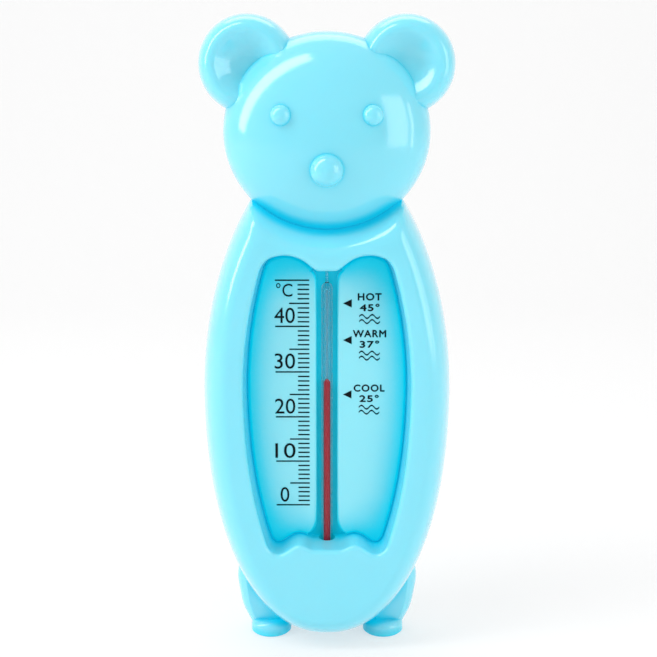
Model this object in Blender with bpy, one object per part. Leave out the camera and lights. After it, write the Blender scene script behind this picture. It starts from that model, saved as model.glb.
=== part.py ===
"""Bear-shaped bath thermometer: two moulded shell halves round a scale plate and a spirit-filled glass tube.

Metres, +Z up. The bear faces -Y and stands on its feet on the plane z = 0. The pieces are modelled with the
parting plane of the shell halves at y = 0, and depths are measured forwards from it on the front half and
backwards on the back half. They hang on an empty that moves the middle of the whole depth onto the origin.
"""
import math

import bmesh
import bpy
from mathutils import Vector

MM = 0.001

# Body outline: an egg that is widest above its middle, and hangs a little above the soles
BODY_HALF_WIDTH = 30.3 * MM
BODY_LIFT = 2.0 * MM
BODY_LOWER_REACH = 63.0 * MM
BODY_LOWER_POWER = 2.2
BODY_UPPER_REACH = 60.0 * MM
BODY_UPPER_POWER = 1.9
BODY_FRONT_DEPTH = 12.5 * MM
BODY_BACK_DEPTH = 13.0 * MM
BODY_EDGE_ROUND = 6.5 * MM
SHOULDER_BLEND = 4.0 * MM
WALL = 2.0 * MM

# Head, ears, eyes and nose. The ears' middles are set in from the head's side and top.
HEAD_HALF_WIDTH = 24.7 * MM
HEAD_HALF_HEIGHT = 23.5 * MM
HEAD_FRONT_DEPTH = 15.0 * MM
HEAD_BACK_DEPTH = 14.0 * MM
HEAD_POWER = 2.15
CHIN_ABOVE_LOBES = 4.5 * MM
NECK_OVERLAP = 1.2 * MM
EAR_RADIUS = 11.6 * MM
EAR_SET_IN = 6.0 * MM
EAR_SET_DOWN = 7.6 * MM
EAR_RIM_WIDTH = 3.4 * MM
EAR_RIM_DEPTH = 7.0 * MM
EAR_DISH_SINK = 3.2 * MM
EAR_DISH_POWER = 3.0
EAR_DISH_RINGS = (0.86, 0.7, 0.5, 0.25)
EAR_BACK_DEPTH = 8.0 * MM
EAR_BACK_FULLNESS = 0.8
EYE_RADIUS = 2.35 * MM
EYE_OUT = 10.5 * MM
EYE_UP = 4.5 * MM
NOSE_RADIUS = 3.85 * MM
NOSE_DOWN = 7.9 * MM
BUTTON_FLATNESS = 0.85

# Legs and feet, moulded with the back half
LEG_STATIONS = (
    # height, distance of the centre from the middle, half width
    (1.3 * MM, 14.7 * MM, 4.45 * MM),
    (5.9 * MM, 16.0 * MM, 5.5 * MM),
    (10.3 * MM, 16.6 * MM, 5.9 * MM),
    (14.6 * MM, 16.8 * MM, 6.2 * MM),
    (18.5 * MM, 16.3 * MM, 5.9 * MM),
    (21.5 * MM, 15.6 * MM, 4.6 * MM),
    (23.2 * MM, 15.2 * MM, 2.4 * MM),
)
LEG_HALF_DEPTH = 4.8 * MM
LEG_ROUNDNESS = 1.1
LEG_FRONT_CUT = 1.0 * MM
FOOT_OUT = 14.35 * MM
FOOT_HALF_WIDTH = 5.1 * MM
FOOT_TOE_DEPTH = 3.4 * MM
FOOT_HEEL_DEPTH = 12.0 * MM
FOOT_HEIGHT = 3.6 * MM
FOOT_EDGE_ROUND = 1.6 * MM
SOLE_BEVEL = 0.5 * MM

# Window in the front half, through which the scale is read, with a rim round it that is given for its low and
# high ends
RIM_WIDTH_LOW = 10.9 * MM
RIM_WIDTH_HIGH = 9.65 * MM
SILL_BELOW_WIDEST = 38.1 * MM
LOBES_ABOVE_WIDEST = 34.5 * MM
SIDES_ABOVE_SILL = 1.7 * MM
SIDES_BELOW_LOBES = 4.3 * MM
BROW_BELOW_LOBES = 3.7 * MM
BROW_HALF_WIDTH = 2.2 * MM
BROW_CORNER = 0.4 * MM
SILL_CORNER = 2.1 * MM
SILL_DIP_DROP = 1.1 * MM
SILL_OUTER_RAMP = 5.1 * MM
SILL_INNER_RAMP = 3.78 * MM
SILL_HUMP_RISE = 1.25 * MM
LOBE_SHIFT = 0.92 * MM
LOBE_SPREAD = 1.57 * MM
LOBE_CORNER = 1.35 * MM
LOBE_END = math.radians(129.0)
WINDOW_FILLET = 1.1 * MM
WINDOW_FILLET_TURN = math.radians(72.0)
WINDOW_DRAFT = math.tan(math.radians(5.0))
SKIRT_WALL = 1.6 * MM

# Glass tube and its red spirit
TUBE_RADIUS = 1.35 * MM
BORE_RADIUS = 0.55 * MM
BULB_RADIUS = 2.4 * MM
BULB_ABOVE_BASE = 9.4 * MM
BULB_WALL = 0.5 * MM
BULB_NECK = 3.4 * MM
NECK_BELOW_SILL = 1.1 * MM
TIP_BELOW_BROW = 3.8 * MM
NOTCH_CLEARANCE = 0.7 * MM
SPIRIT_GAP = 0.08 * MM
READING = 28.2

# Scale plate with two raised pads beside the tube's channel
PAD_DEPTH = 5.9 * MM
PAD_EDGE_ROUND = 0.8 * MM
CHANNEL_EDGE_ROUND = 0.9 * MM
PAD_WALL = 1.6 * MM
PLATE_THICKNESS = 1.6 * MM
PLATE_FLANGE = 1.8 * MM
CHANNEL_DEPTH = 2.8 * MM
CHANNEL_CLEARANCE = 1.1 * MM
CHANNEL_FLARE_WIDTH = 2.3 * MM
CHANNEL_FLARE_HEIGHT = 4.0 * MM
FLARE_ABOVE_SILL = 6.1 * MM

# Printed scale, as marks that stand slightly proud of the left pad and pointers on the right pad
ZERO_ABOVE_SILL = 9.55 * MM
SCALE_TOP_BELOW_BROW = 3.05 * MM
SCALE_TOP = 50
SCALE_GAP = 1.81 * MM
MARK_LENGTHS = {1: 2.77 * MM, 5: 4.81 * MM, 10: 8.2 * MM}
MARK_THICKNESS = 0.28 * MM
PRINT_RISE = 0.12 * MM
POINTER_TEMPERATURES = (45, 37, 25)
POINTER_GAP = 1.45 * MM
POINTER_LENGTH = 2.05 * MM
POINTER_HALF_HEIGHT = 1.0 * MM

# Seats inside the shells
FIT = 0.3 * MM
CUSHION_WALL = 1.1 * MM
CUSHION_DEPTH = 3.0 * MM
SHELF_THICKNESS = 1.8 * MM
SHELF_MARGIN = 0.7 * MM
POST_RADIUS = 2.0 * MM
POSTS_FROM_WIDEST = (-17.0 * MM, 19.0 * MM)
LIP_WALL = 1.2 * MM
LIP_RISE = 1.5 * MM
INLET_COUNT = 3
INLET_PITCH = 4.0 * MM
INLET_HALF_LENGTH = 4.5 * MM
INLET_HALF_HEIGHT = 0.8 * MM

# Fineness of the curved surfaces
BODY_SIDES = 56
HEAD_SIDES = 36
EAR_SIDES = 22
BUTTON_SIDES = 12
LEG_SIDES = 14
TUBE_SIDES = 14
ROUND_STEPS = 5
FILLET_STEPS = 2
FOOT_STEPS = 3
DOME_STEPS = 4
RAMP_STEPS = (3, 5)
CORNER_STEPS = 4
SIDE_STEPS = 10
LOBE_STEPS = 6
FLARE_STEPS = 5
POCKET_STEPS = 6

# How far cutters run past what they cut, how near points are merged, and a distance that is past everything
CUT_MARGIN = 5.0 * MM
WELD_DISTANCE = 0.002 * MM
FAR = 200.0 * MM

# Heights that follow from the sizes above
BODY_WIDEST_Z = BODY_LIFT + BODY_LOWER_REACH
SILL_Z = BODY_WIDEST_Z - SILL_BELOW_WIDEST
LOBE_TOP_Z = BODY_WIDEST_Z + LOBES_ABOVE_WIDEST
BROW_Z = LOBE_TOP_Z - BROW_BELOW_LOBES
WINDOW_LOW_Z = SILL_Z + SIDES_ABOVE_SILL
WINDOW_HIGH_Z = LOBE_TOP_Z - SIDES_BELOW_LOBES
HEAD_Z = LOBE_TOP_Z + CHIN_ABOVE_LOBES + HEAD_HALF_HEIGHT
HEAD_ABOVE_BODY = HEAD_Z - BODY_WIDEST_Z
EAR_Z = HEAD_Z + HEAD_HALF_HEIGHT - EAR_SET_DOWN
TUBE_TOP_Z = BROW_Z - TIP_BELOW_BROW
NECK_TOP_Z = SILL_Z - NECK_BELOW_SILL
BULB_TOP_Z = NECK_TOP_Z - BULB_NECK
BULB_BOTTOM_Z = BODY_LIFT + BULB_ABOVE_BASE
SHELF_TOP_Z = BULB_BOTTOM_Z - FIT - CUSHION_WALL - FIT
CHANNEL_FLARE_Z = SILL_Z + FLARE_ABOVE_SILL
ZERO_Z = SILL_Z + ZERO_ABOVE_SILL
DEGREE = (BROW_Z - SCALE_TOP_BELOW_BROW - ZERO_Z) / SCALE_TOP

# Widths and depths that follow from the sizes above
EAR_OUT = HEAD_HALF_WIDTH - EAR_SET_IN
EAR_RIM_RADIUS = EAR_RADIUS - EAR_RIM_WIDTH
CHANNEL_HALF_WIDTH = TUBE_RADIUS + CHANNEL_CLEARANCE
TUBE_DEPTH = CHANNEL_DEPTH + FIT + TUBE_RADIUS
PLATE_BACK_DEPTH = CHANNEL_DEPTH - PLATE_THICKNESS
SKIRT_BACK_DEPTH = CHANNEL_DEPTH + FIT
WALL_FRONT_DEPTH = BODY_FRONT_DEPTH - WINDOW_FILLET
SKIRT_FOOT_OFFSET = -WINDOW_DRAFT * (WALL_FRONT_DEPTH - SKIRT_BACK_DEPTH)
PAD_OFFSET = SKIRT_FOOT_OFFSET - FIT


def new_object(name, mesh_data):
    """Make an object from a bmesh whose faces are turned outwards."""
    bmesh.ops.recalc_face_normals(mesh_data, faces=mesh_data.faces)
    mesh = bpy.data.meshes.new(name)
    mesh_data.to_mesh(mesh)
    mesh_data.free()
    made = bpy.data.objects.new(name, mesh)
    bpy.context.scene.collection.objects.link(made)
    return made


def loft(name, rings, tip=None):
    """Skin a stack of rings with equal numbers of points. The end is a flat cap, or a fan to the tip."""
    mesh_data = bmesh.new()
    rows = [[mesh_data.verts.new(point) for point in ring] for ring in rings]
    for lower, upper in zip(rows, rows[1:]):
        for i in range(len(lower)):
            j = (i + 1) % len(lower)
            mesh_data.faces.new((lower[i], lower[j], upper[j], upper[i]))
    mesh_data.faces.new(rows[0])
    if tip is None:
        mesh_data.faces.new(rows[-1])
    else:
        peak = mesh_data.verts.new(tip)
        for i in range(len(rows[-1])):
            mesh_data.faces.new((rows[-1][i], rows[-1][(i + 1) % len(rows[-1])], peak))
    return new_object(name, mesh_data)


def turned(name, profile, centre_y, sides):
    """Turn a closed profile of (radius, height) points round an upright axis. Radius 0 is a pole."""
    mesh_data = bmesh.new()
    rows = []
    for radius, height in profile:
        if radius == 0.0:
            rows.append([mesh_data.verts.new((0.0, centre_y, height))] * sides)
            continue
        row = []
        for i in range(sides):
            turn = 2.0 * math.pi * (i + 0.5) / sides
            place = (radius * math.cos(turn), centre_y + radius * math.sin(turn), height)
            row.append(mesh_data.verts.new(place))
        rows.append(row)
    joins = list(zip(rows, rows[1:]))
    if profile[0][0] > 0.0:
        joins.append((rows[-1], rows[0]))
    for lower, upper in joins:
        for i in range(sides):
            j = (i + 1) % sides
            corners = []
            for vertex in (lower[i], lower[j], upper[j], upper[i]):
                if vertex not in corners:
                    corners.append(vertex)
            mesh_data.faces.new(corners)
    return new_object(name, mesh_data)


def block(name, low, high):
    """A box between two corners."""
    mesh_data = bmesh.new()
    bmesh.ops.create_cube(mesh_data, size=1.0)
    low, high = Vector(low), Vector(high)
    for vertex in mesh_data.verts:
        vertex.co = low + (vertex.co + Vector((0.5, 0.5, 0.5))) * (high - low)
    return new_object(name, mesh_data)


def weld(mesh):
    """Merge points that a Boolean step has left almost on each other."""
    mesh_data = bmesh.new()
    mesh_data.from_mesh(mesh)
    bmesh.ops.remove_doubles(mesh_data, verts=mesh_data.verts, dist=WELD_DISTANCE)
    bmesh.ops.dissolve_degenerate(mesh_data, edges=mesh_data.edges, dist=WELD_DISTANCE)
    mesh_data.to_mesh(mesh)
    mesh_data.free()
    return mesh


def combine(target, tools, operation):
    """Run Boolean modifiers on the target one by one, keep the result and remove the tools.

    The solver is MANIFOLD, because EXACT leaves open slivers or loses a body at some sizes of the shells.
    """
    for tool in tools:
        step = target.modifiers.new(tool.name, "BOOLEAN")
        step.operation = operation
        step.solver = "MANIFOLD"
        step.object = tool
        bpy.context.view_layer.update()
        result = bpy.data.meshes.new_from_object(target.evaluated_get(bpy.context.evaluated_depsgraph_get()))
        target.modifiers.remove(step)
        target.data = weld(result)
        bpy.data.objects.remove(tool)
    return target


def ring(outline, y):
    """Stand a flat outline of (x, z) points at a depth y."""
    return [(x, y, z) for x, z in outline]


def soft_min(a, b, blend):
    """The smaller of two values, rounded off where they are within the blend of each other."""
    near = max(blend - abs(a - b), 0.0) / blend
    return min(a, b) - near * near * blend / 4.0


def body_outline(inset):
    """The egg drawn in by an inset, with a hollow for the head in its top and soft shoulders."""
    head_width = HEAD_HALF_WIDTH - NECK_OVERLAP + inset
    head_height = HEAD_HALF_HEIGHT - NECK_OVERLAP + inset
    points = []
    for i in range(BODY_SIDES):
        turn = 2.0 * math.pi * i / BODY_SIDES
        upper = math.sin(turn) >= 0.0
        reach = BODY_UPPER_REACH if upper else BODY_LOWER_REACH
        power = BODY_UPPER_POWER if upper else BODY_LOWER_POWER
        x, z = BODY_HALF_WIDTH * math.cos(turn), reach * math.sin(turn)
        x, z = x / math.hypot(x, z), z / math.hypot(x, z)
        egg = (abs(x) / (BODY_HALF_WIDTH - inset)) ** power + (abs(z) / (reach - inset)) ** power
        distance = egg ** (-1.0 / power)
        # The ray from the egg's middle meets the head's ellipse where this quadratic has its nearer root
        square = (x / head_width) ** 2 + (z / head_height) ** 2
        half = z * HEAD_ABOVE_BODY / head_height ** 2
        rest = (HEAD_ABOVE_BODY / head_height) ** 2 - 1.0
        if upper and half * half > square * rest:
            collar = (half - math.sqrt(half * half - square * rest)) / square
            distance = soft_min(distance, collar, SHOULDER_BLEND)
        points.append((distance * x, BODY_WIDEST_Z + distance * z))
    return points


def body_half(name, forward, depth, wall):
    """One rounded half of the body, or its hollow when a wall is given. forward is -1 or +1 along Y."""
    edge = BODY_EDGE_ROUND - wall
    rings = [ring(body_outline(wall), -forward * CUT_MARGIN)]
    for step in range(ROUND_STEPS + 1):
        angle = math.pi / 2.0 * step / ROUND_STEPS
        inset = wall + edge * (1.0 - math.cos(angle))
        rings.append(ring(body_outline(inset), forward * (depth - wall) * math.sin(angle)))
    return loft(name, rings)


def ellipse(out, up, half_width, half_height, sides):
    """An upright ellipse of (x, z) points."""
    turns = [2.0 * math.pi * i / sides for i in range(sides)]
    return [(out + half_width * math.cos(turn), up + half_height * math.sin(turn)) for turn in turns]


def head_half(name, forward, depth, wall):
    """One domed half of the head, or its hollow when a wall is given."""
    width, height = HEAD_HALF_WIDTH - wall, HEAD_HALF_HEIGHT - wall
    rings = [ring(ellipse(0.0, HEAD_Z, width, height, HEAD_SIDES), -forward * CUT_MARGIN)]
    steps = ROUND_STEPS + 1
    for step in range(steps):
        angle = math.pi / 2.0 * step / steps
        share = math.cos(angle) ** (2.0 / HEAD_POWER)
        rise = (depth - wall) * math.sin(angle) ** (2.0 / HEAD_POWER)
        rings.append(ring(ellipse(0.0, HEAD_Z, width * share, height * share, HEAD_SIDES), forward * rise))
    return loft(name, rings, tip=(0.0, forward * (depth - wall), HEAD_Z))


def ear_front(name, side, wall):
    """The front of an ear: a rounded rim round a shallow dish, or its hollow when a wall is given."""
    centre = side * EAR_OUT
    outer = EAR_RADIUS - wall
    rim_depth = EAR_RIM_DEPTH - wall
    rings = [ring(ellipse(centre, EAR_Z, outer, outer, EAR_SIDES), CUT_MARGIN)]
    for step in range(ROUND_STEPS):
        angle = math.pi / 2.0 * step / (ROUND_STEPS - 1)
        radius = EAR_RIM_RADIUS + (outer - EAR_RIM_RADIUS) * math.cos(angle)
        rings.append(ring(ellipse(centre, EAR_Z, radius, radius, EAR_SIDES), -rim_depth * math.sin(angle)))
    for share in EAR_DISH_RINGS:
        sunk = EAR_DISH_SINK * (1.0 - share ** EAR_DISH_POWER) ** 2
        radius = EAR_RIM_RADIUS * share
        rings.append(ring(ellipse(centre, EAR_Z, radius, radius, EAR_SIDES), -rim_depth + sunk))
    return loft(name, rings)


def ear_back(name, side, wall):
    """The plain domed back of an ear, or its hollow when a wall is given."""
    centre = side * EAR_OUT
    outer = EAR_RADIUS - wall
    rings = [ring(ellipse(centre, EAR_Z, outer, outer, EAR_SIDES), -CUT_MARGIN)]
    for step in range(ROUND_STEPS):
        angle = math.pi / 2.0 * step / ROUND_STEPS
        radius = outer * math.cos(angle) ** EAR_BACK_FULLNESS
        rise = (EAR_BACK_DEPTH - wall) * math.sin(angle)
        rings.append(ring(ellipse(centre, EAR_Z, radius, radius, EAR_SIDES), rise))
    return loft(name, rings, tip=(centre, EAR_BACK_DEPTH - wall, EAR_Z))


def face_depth(out, up):
    """Depth of the face's dome at a place measured from the head's middle."""
    share = math.hypot(out / HEAD_HALF_WIDTH, up / HEAD_HALF_HEIGHT)
    return HEAD_FRONT_DEPTH * (1.0 - share ** HEAD_POWER) ** (1.0 / HEAD_POWER)


def button(name, out, up, radius):
    """An eye or nose: a slightly flattened ball sunk to its middle in the face."""
    mesh_data = bmesh.new()
    bmesh.ops.create_uvsphere(mesh_data, u_segments=BUTTON_SIDES, v_segments=BUTTON_SIDES // 2, radius=radius)
    centre = Vector((out, -face_depth(out, up), HEAD_Z + up))
    for vertex in mesh_data.verts:
        x, y, z = vertex.co
        vertex.co = centre + Vector((x, z * BUTTON_FLATNESS, y))
    return new_object(name, mesh_data)


def bezier(start, control, end, steps):
    """Points of a quadratic curve, without its end."""
    points = []
    for i in range(steps):
        t = i / steps
        near, middle, far = (1.0 - t) ** 2, 2.0 * t * (1.0 - t), t * t
        points.append(tuple(near * a + middle * b + far * c for a, b, c in zip(start, control, end)))
    return points


def window_side_x(z):
    """Half width of the window at a height: the body's outline less the rim."""
    upper = z >= BODY_WIDEST_Z
    reach = BODY_UPPER_REACH if upper else BODY_LOWER_REACH
    power = BODY_UPPER_POWER if upper else BODY_LOWER_POWER
    share = (z - WINDOW_LOW_Z) / (WINDOW_HIGH_Z - WINDOW_LOW_Z)
    rim = RIM_WIDTH_LOW + (RIM_WIDTH_HIGH - RIM_WIDTH_LOW) * share
    return BODY_HALF_WIDTH * (1.0 - (abs(z - BODY_WIDEST_Z) / reach) ** power) ** (1.0 / power) - rim


def window_outline():
    """The window's edge, anticlockwise seen from the front: a wavy sill, bowed sides and two lobes on top."""
    def ramp(x0, z0, x1, z1, steps):
        shares = [i / steps for i in range(steps)]
        return [(x0 + (x1 - x0) * s, z0 + (z1 - z0) * (1.0 - math.cos(math.pi * s)) / 2.0) for s in shares]

    low_x, high_x = window_side_x(WINDOW_LOW_Z), window_side_x(WINDOW_HIGH_Z)
    low_lean = (window_side_x(WINDOW_LOW_Z + MM) - low_x) / MM
    high_lean = (high_x - window_side_x(WINDOW_HIGH_Z - MM)) / MM
    hump_z, dip_z = SILL_Z + SILL_HUMP_RISE, SILL_Z - SILL_DIP_DROP
    corner_x = low_x - low_lean * (WINDOW_LOW_Z - dip_z)
    dip_x = corner_x - SILL_CORNER
    hump_x = dip_x - SILL_OUTER_RAMP
    half = [(0.0, SILL_Z)]
    half += ramp(hump_x - SILL_INNER_RAMP, SILL_Z, hump_x, hump_z, RAMP_STEPS[0])
    half += ramp(hump_x, hump_z, dip_x, dip_z, RAMP_STEPS[1])
    half += bezier((dip_x, dip_z), (corner_x, dip_z), (low_x, WINDOW_LOW_Z), CORNER_STEPS)
    climb = (WINDOW_HIGH_Z - WINDOW_LOW_Z) / SIDE_STEPS
    half += [(window_side_x(WINDOW_LOW_Z + climb * i), WINDOW_LOW_Z + climb * i) for i in range(SIDE_STEPS)]
    lobe_radius = (high_x - BROW_HALF_WIDTH) / 2.0 + LOBE_SPREAD
    lobe_x, lobe_z = (high_x + BROW_HALF_WIDTH) / 2.0 + LOBE_SHIFT, LOBE_TOP_Z - lobe_radius
    lobe_edge = high_x + high_lean * SIDES_BELOW_LOBES - LOBE_CORNER
    lobe_start = math.acos((lobe_edge - lobe_x) / lobe_radius)
    lobe = []
    for i in range(LOBE_STEPS + 1):
        angle = lobe_start + (LOBE_END - lobe_start) * i / LOBE_STEPS
        lobe.append((lobe_x + lobe_radius * math.cos(angle), lobe_z + lobe_radius * math.sin(angle)))
    start_x, start_z = lobe[0]
    fall = math.tan(math.pi / 2.0 - lobe_start)
    # The side's line and the lobe's line at its start meet at the corner that the curve rounds off
    rise = (start_z - WINDOW_HIGH_Z + fall * (start_x - high_x)) / (1.0 + fall * high_lean)
    half += bezier((high_x, WINDOW_HIGH_Z), (high_x + high_lean * rise, WINDOW_HIGH_Z + rise), lobe[0],
                   CORNER_STEPS)
    half += lobe
    half.append((BROW_HALF_WIDTH + BROW_CORNER, BROW_Z + BROW_CORNER / 2.0))
    half.append((BROW_HALF_WIDTH - BROW_CORNER, BROW_Z))
    mirrored = [(-x, z) for x, z in reversed(half[1:])]
    return half + [(0.0, BROW_Z)] + mirrored


def offset_outline(points, distance):
    """Move each point of an anticlockwise outline outwards, square to its two edges."""
    moved = []
    for i, (x, z) in enumerate(points):
        x0, z0 = points[i - 1]
        x1, z1 = points[(i + 1) % len(points)]
        before = Vector((z - z0, x0 - x)).normalized()
        after = Vector((z1 - z, x - x1)).normalized()
        out = (before + after) / (1.0 + before.dot(after))
        moved.append((x + out.x * distance, z + out.y * distance))
    return moved


def window_cutter():
    """The window's opening: drafted walls with a rounded lip at the body's face."""
    outline = window_outline()
    inside_depth = SKIRT_BACK_DEPTH - CUT_MARGIN / 3.0
    rings = [ring(offset_outline(outline, -WINDOW_DRAFT * (WALL_FRONT_DEPTH - inside_depth)), -inside_depth)]
    for step in range(FILLET_STEPS + 1):
        angle = WINDOW_FILLET_TURN * step / FILLET_STEPS
        spread = WINDOW_FILLET * (1.0 - math.cos(angle))
        rings.append(ring(offset_outline(outline, spread), -WALL_FRONT_DEPTH - WINDOW_FILLET * math.sin(angle)))
    rings.append(ring(offset_outline(outline, 2.0 * spread), -BODY_FRONT_DEPTH - WINDOW_FILLET))
    return loft("window_cutter", rings)


def skirt():
    """The wall round the window that runs back to the scale plate."""
    outline = window_outline()
    front_depth = BODY_FRONT_DEPTH - WALL / 2.0
    back = ring(offset_outline(outline, SKIRT_FOOT_OFFSET + SKIRT_WALL), -SKIRT_BACK_DEPTH)
    front = ring(offset_outline(outline, SKIRT_WALL), -front_depth)
    return loft("skirt", [back, front])


def tube_notch():
    """The round hole in the window's sill that the tube comes up through."""
    radius, low = TUBE_RADIUS + NOTCH_CLEARANCE, SILL_Z - CUT_MARGIN
    profile = [(0.0, low), (radius, low), (radius, BODY_WIDEST_Z), (0.0, BODY_WIDEST_Z)]
    return turned("tube_notch", profile, -TUBE_DEPTH, TUBE_SIDES)


def half_space(name, forward):
    """Everything behind the rim of a shell half, with half of the seam's gap."""
    start, end = sorted((forward * FIT / 2.0, -forward * FAR))
    return block(name, (-FAR, start, -FAR), (FAR, end, FAR))


def lip():
    """A tongue inside the back half's rim that locates the front half."""
    inner = WALL + FIT
    root = WALL / 2.0
    rings = [ring(body_outline(root), FIT / 2.0), ring(body_outline(root), 2.0 * LIP_RISE)]
    band = loft("lip", rings)
    tongue = loft("tongue", [ring(body_outline(inner), -LIP_RISE), ring(body_outline(inner), LIP_RISE)])
    core_rings = [ring(body_outline(inner + LIP_WALL), -2.0 * LIP_RISE),
                  ring(body_outline(inner + LIP_WALL), 3.0 * LIP_RISE)]
    combine(band, [tongue], "UNION")
    return combine(band, [loft("lip_core", core_rings)], "DIFFERENCE")


def leg(side):
    """A plump leg on the side of the back half, flat where it faces the front half."""
    centre_y = FIT / 2.0 + LEG_HALF_DEPTH - LEG_FRONT_CUT
    rings = []
    for height, out, half_width in LEG_STATIONS:
        half_depth = min(LEG_HALF_DEPTH, half_width * LEG_ROUNDNESS)
        points = []
        for i in range(LEG_SIDES):
            turn = 2.0 * math.pi * i / LEG_SIDES
            x, y = side * out + half_width * math.cos(turn), centre_y + half_depth * math.sin(turn)
            points.append((x, y, height))
        rings.append(points)
    return loft("leg", rings)


def foot(side):
    """A foot with a round toe and heel, rounded above and lightly bevelled round its flat sole."""
    def plan(inset, height):
        radius = FOOT_HALF_WIDTH - inset
        front, back = -FOOT_TOE_DEPTH + FOOT_HALF_WIDTH, FOOT_HEEL_DEPTH - FOOT_HALF_WIDTH
        points = []
        for i in range(LEG_SIDES):
            turn = 2.0 * math.pi * (i + 0.5) / LEG_SIDES
            middle = back if math.sin(turn) > 0.0 else front
            points.append((side * FOOT_OUT + radius * math.cos(turn), middle + radius * math.sin(turn), height))
        return points

    rings = [plan(SOLE_BEVEL, 0.0), plan(0.0, SOLE_BEVEL)]
    for step in range(FOOT_STEPS + 1):
        angle = math.pi / 2.0 * step / FOOT_STEPS
        inset = FOOT_EDGE_ROUND * (1.0 - math.cos(angle))
        rings.append(plan(inset, FOOT_HEIGHT - FOOT_EDGE_ROUND * (1.0 - math.sin(angle))))
    return loft("foot", rings)


def material(name, colour, roughness, alpha=1.0, transmission=0.0):
    """A Principled material."""
    made = bpy.data.materials.new(name)
    made.use_nodes = True
    shader = made.node_tree.nodes["Principled BSDF"]
    shader.inputs["Base Color"].default_value = (*colour, 1.0)
    shader.inputs["Roughness"].default_value = roughness
    shader.inputs["Metallic"].default_value = 0.0
    shader.inputs["Alpha"].default_value = alpha
    shader.inputs["Transmission Weight"].default_value = transmission
    made.diffuse_color = (*colour, alpha)
    return made


def finish(made, name, surface):
    """Name a finished piece, give it its material and smooth its curved surfaces."""
    made.name = name
    made.data.name = name
    made.data.materials.clear()
    made.data.materials.append(surface)
    made.data.shade_smooth()
    made.data.set_sharp_from_angle(angle=math.radians(35.0))
    return made


def front_shell(surface):
    """Front half of the bear: body, head, ears, eyes and nose in one moulding with the window in its belly."""
    outer = body_half("front", -1.0, BODY_FRONT_DEPTH, 0.0)
    combine(outer, [head_half("head", -1.0, HEAD_FRONT_DEPTH, 0.0)], "UNION")
    combine(outer, [ear_front("ear", side, 0.0) for side in (-1.0, 1.0)], "UNION")
    combine(outer, [button("eye", side * EYE_OUT, EYE_UP, EYE_RADIUS) for side in (-1.0, 1.0)], "UNION")
    combine(outer, [button("nose", 0.0, -NOSE_DOWN, NOSE_RADIUS)], "UNION")
    hollow = body_half("hollow", -1.0, BODY_FRONT_DEPTH, WALL)
    combine(hollow, [head_half("hollow_head", -1.0, HEAD_FRONT_DEPTH, WALL)], "UNION")
    combine(hollow, [ear_front("hollow_ear", side, WALL) for side in (-1.0, 1.0)], "UNION")
    combine(outer, [hollow], "DIFFERENCE")
    combine(outer, [skirt()], "UNION")
    combine(outer, [window_cutter(), tube_notch(), half_space("behind", -1.0)], "DIFFERENCE")
    return finish(outer, "front_shell", surface)


def post(side, height):
    """A post on the inside of the back half that backs the scale plate."""
    out = side * (window_side_x(height) + SKIRT_FOOT_OFFSET)
    outline = ellipse(out, height, POST_RADIUS, POST_RADIUS, TUBE_SIDES)
    rings = [ring(outline, -PLATE_BACK_DEPTH + FIT), ring(outline, BODY_BACK_DEPTH - WALL / 2.0)]
    return loft("post", rings)


def shelf():
    """A rib of the back half that carries the cushion under the bulb."""
    half_width = BULB_RADIUS + FIT + CUSHION_WALL + SHELF_MARGIN
    return block("shelf", (-half_width, -TUBE_DEPTH - BULB_RADIUS, SHELF_TOP_Z - SHELF_THICKNESS),
                 (half_width, BODY_BACK_DEPTH - WALL / 2.0, SHELF_TOP_Z))


def inlet(height):
    """A slot that lets bath water reach the bulb."""
    return block("inlet", (-INLET_HALF_LENGTH, BODY_BACK_DEPTH - 2.0 * WALL, height - INLET_HALF_HEIGHT),
                 (INLET_HALF_LENGTH, BODY_BACK_DEPTH + WALL, height + INLET_HALF_HEIGHT))


def back_shell(surface):
    """Back half of the bear in one moulding with its legs, feet, posts, shelf and locating lip."""
    trunk = body_half("trunk", 1.0, BODY_BACK_DEPTH, 0.0)
    combine(trunk, [leg(-1.0), leg(1.0)], "UNION")
    combine(trunk, [half_space("before", 1.0)], "DIFFERENCE")
    combine(trunk, [foot(-1.0), foot(1.0)], "UNION")
    outer = head_half("back", 1.0, HEAD_BACK_DEPTH, 0.0)
    combine(outer, [ear_back("ear", side, 0.0) for side in (-1.0, 1.0)], "UNION")
    combine(outer, [half_space("before", 1.0)], "DIFFERENCE")
    hollow = body_half("hollow", 1.0, BODY_BACK_DEPTH, WALL)
    combine(hollow, [head_half("hollow_head", 1.0, HEAD_BACK_DEPTH, WALL)], "UNION")
    combine(hollow, [ear_back("hollow_ear", side, WALL) for side in (-1.0, 1.0)], "UNION")
    combine(outer, [trunk], "UNION")
    combine(outer, [hollow], "DIFFERENCE")
    combine(outer, [lip(), shelf()], "UNION")
    posts = [post(side, BODY_WIDEST_Z + level) for side in (-1.0, 1.0) for level in POSTS_FROM_WIDEST]
    combine(outer, posts, "UNION")
    lowest = (BULB_BOTTOM_Z + BULB_TOP_Z - (INLET_COUNT - 1) * INLET_PITCH) / 2.0
    combine(outer, [inlet(lowest + i * INLET_PITCH) for i in range(INLET_COUNT)], "DIFFERENCE")
    return finish(outer, "back_shell", surface)


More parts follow.
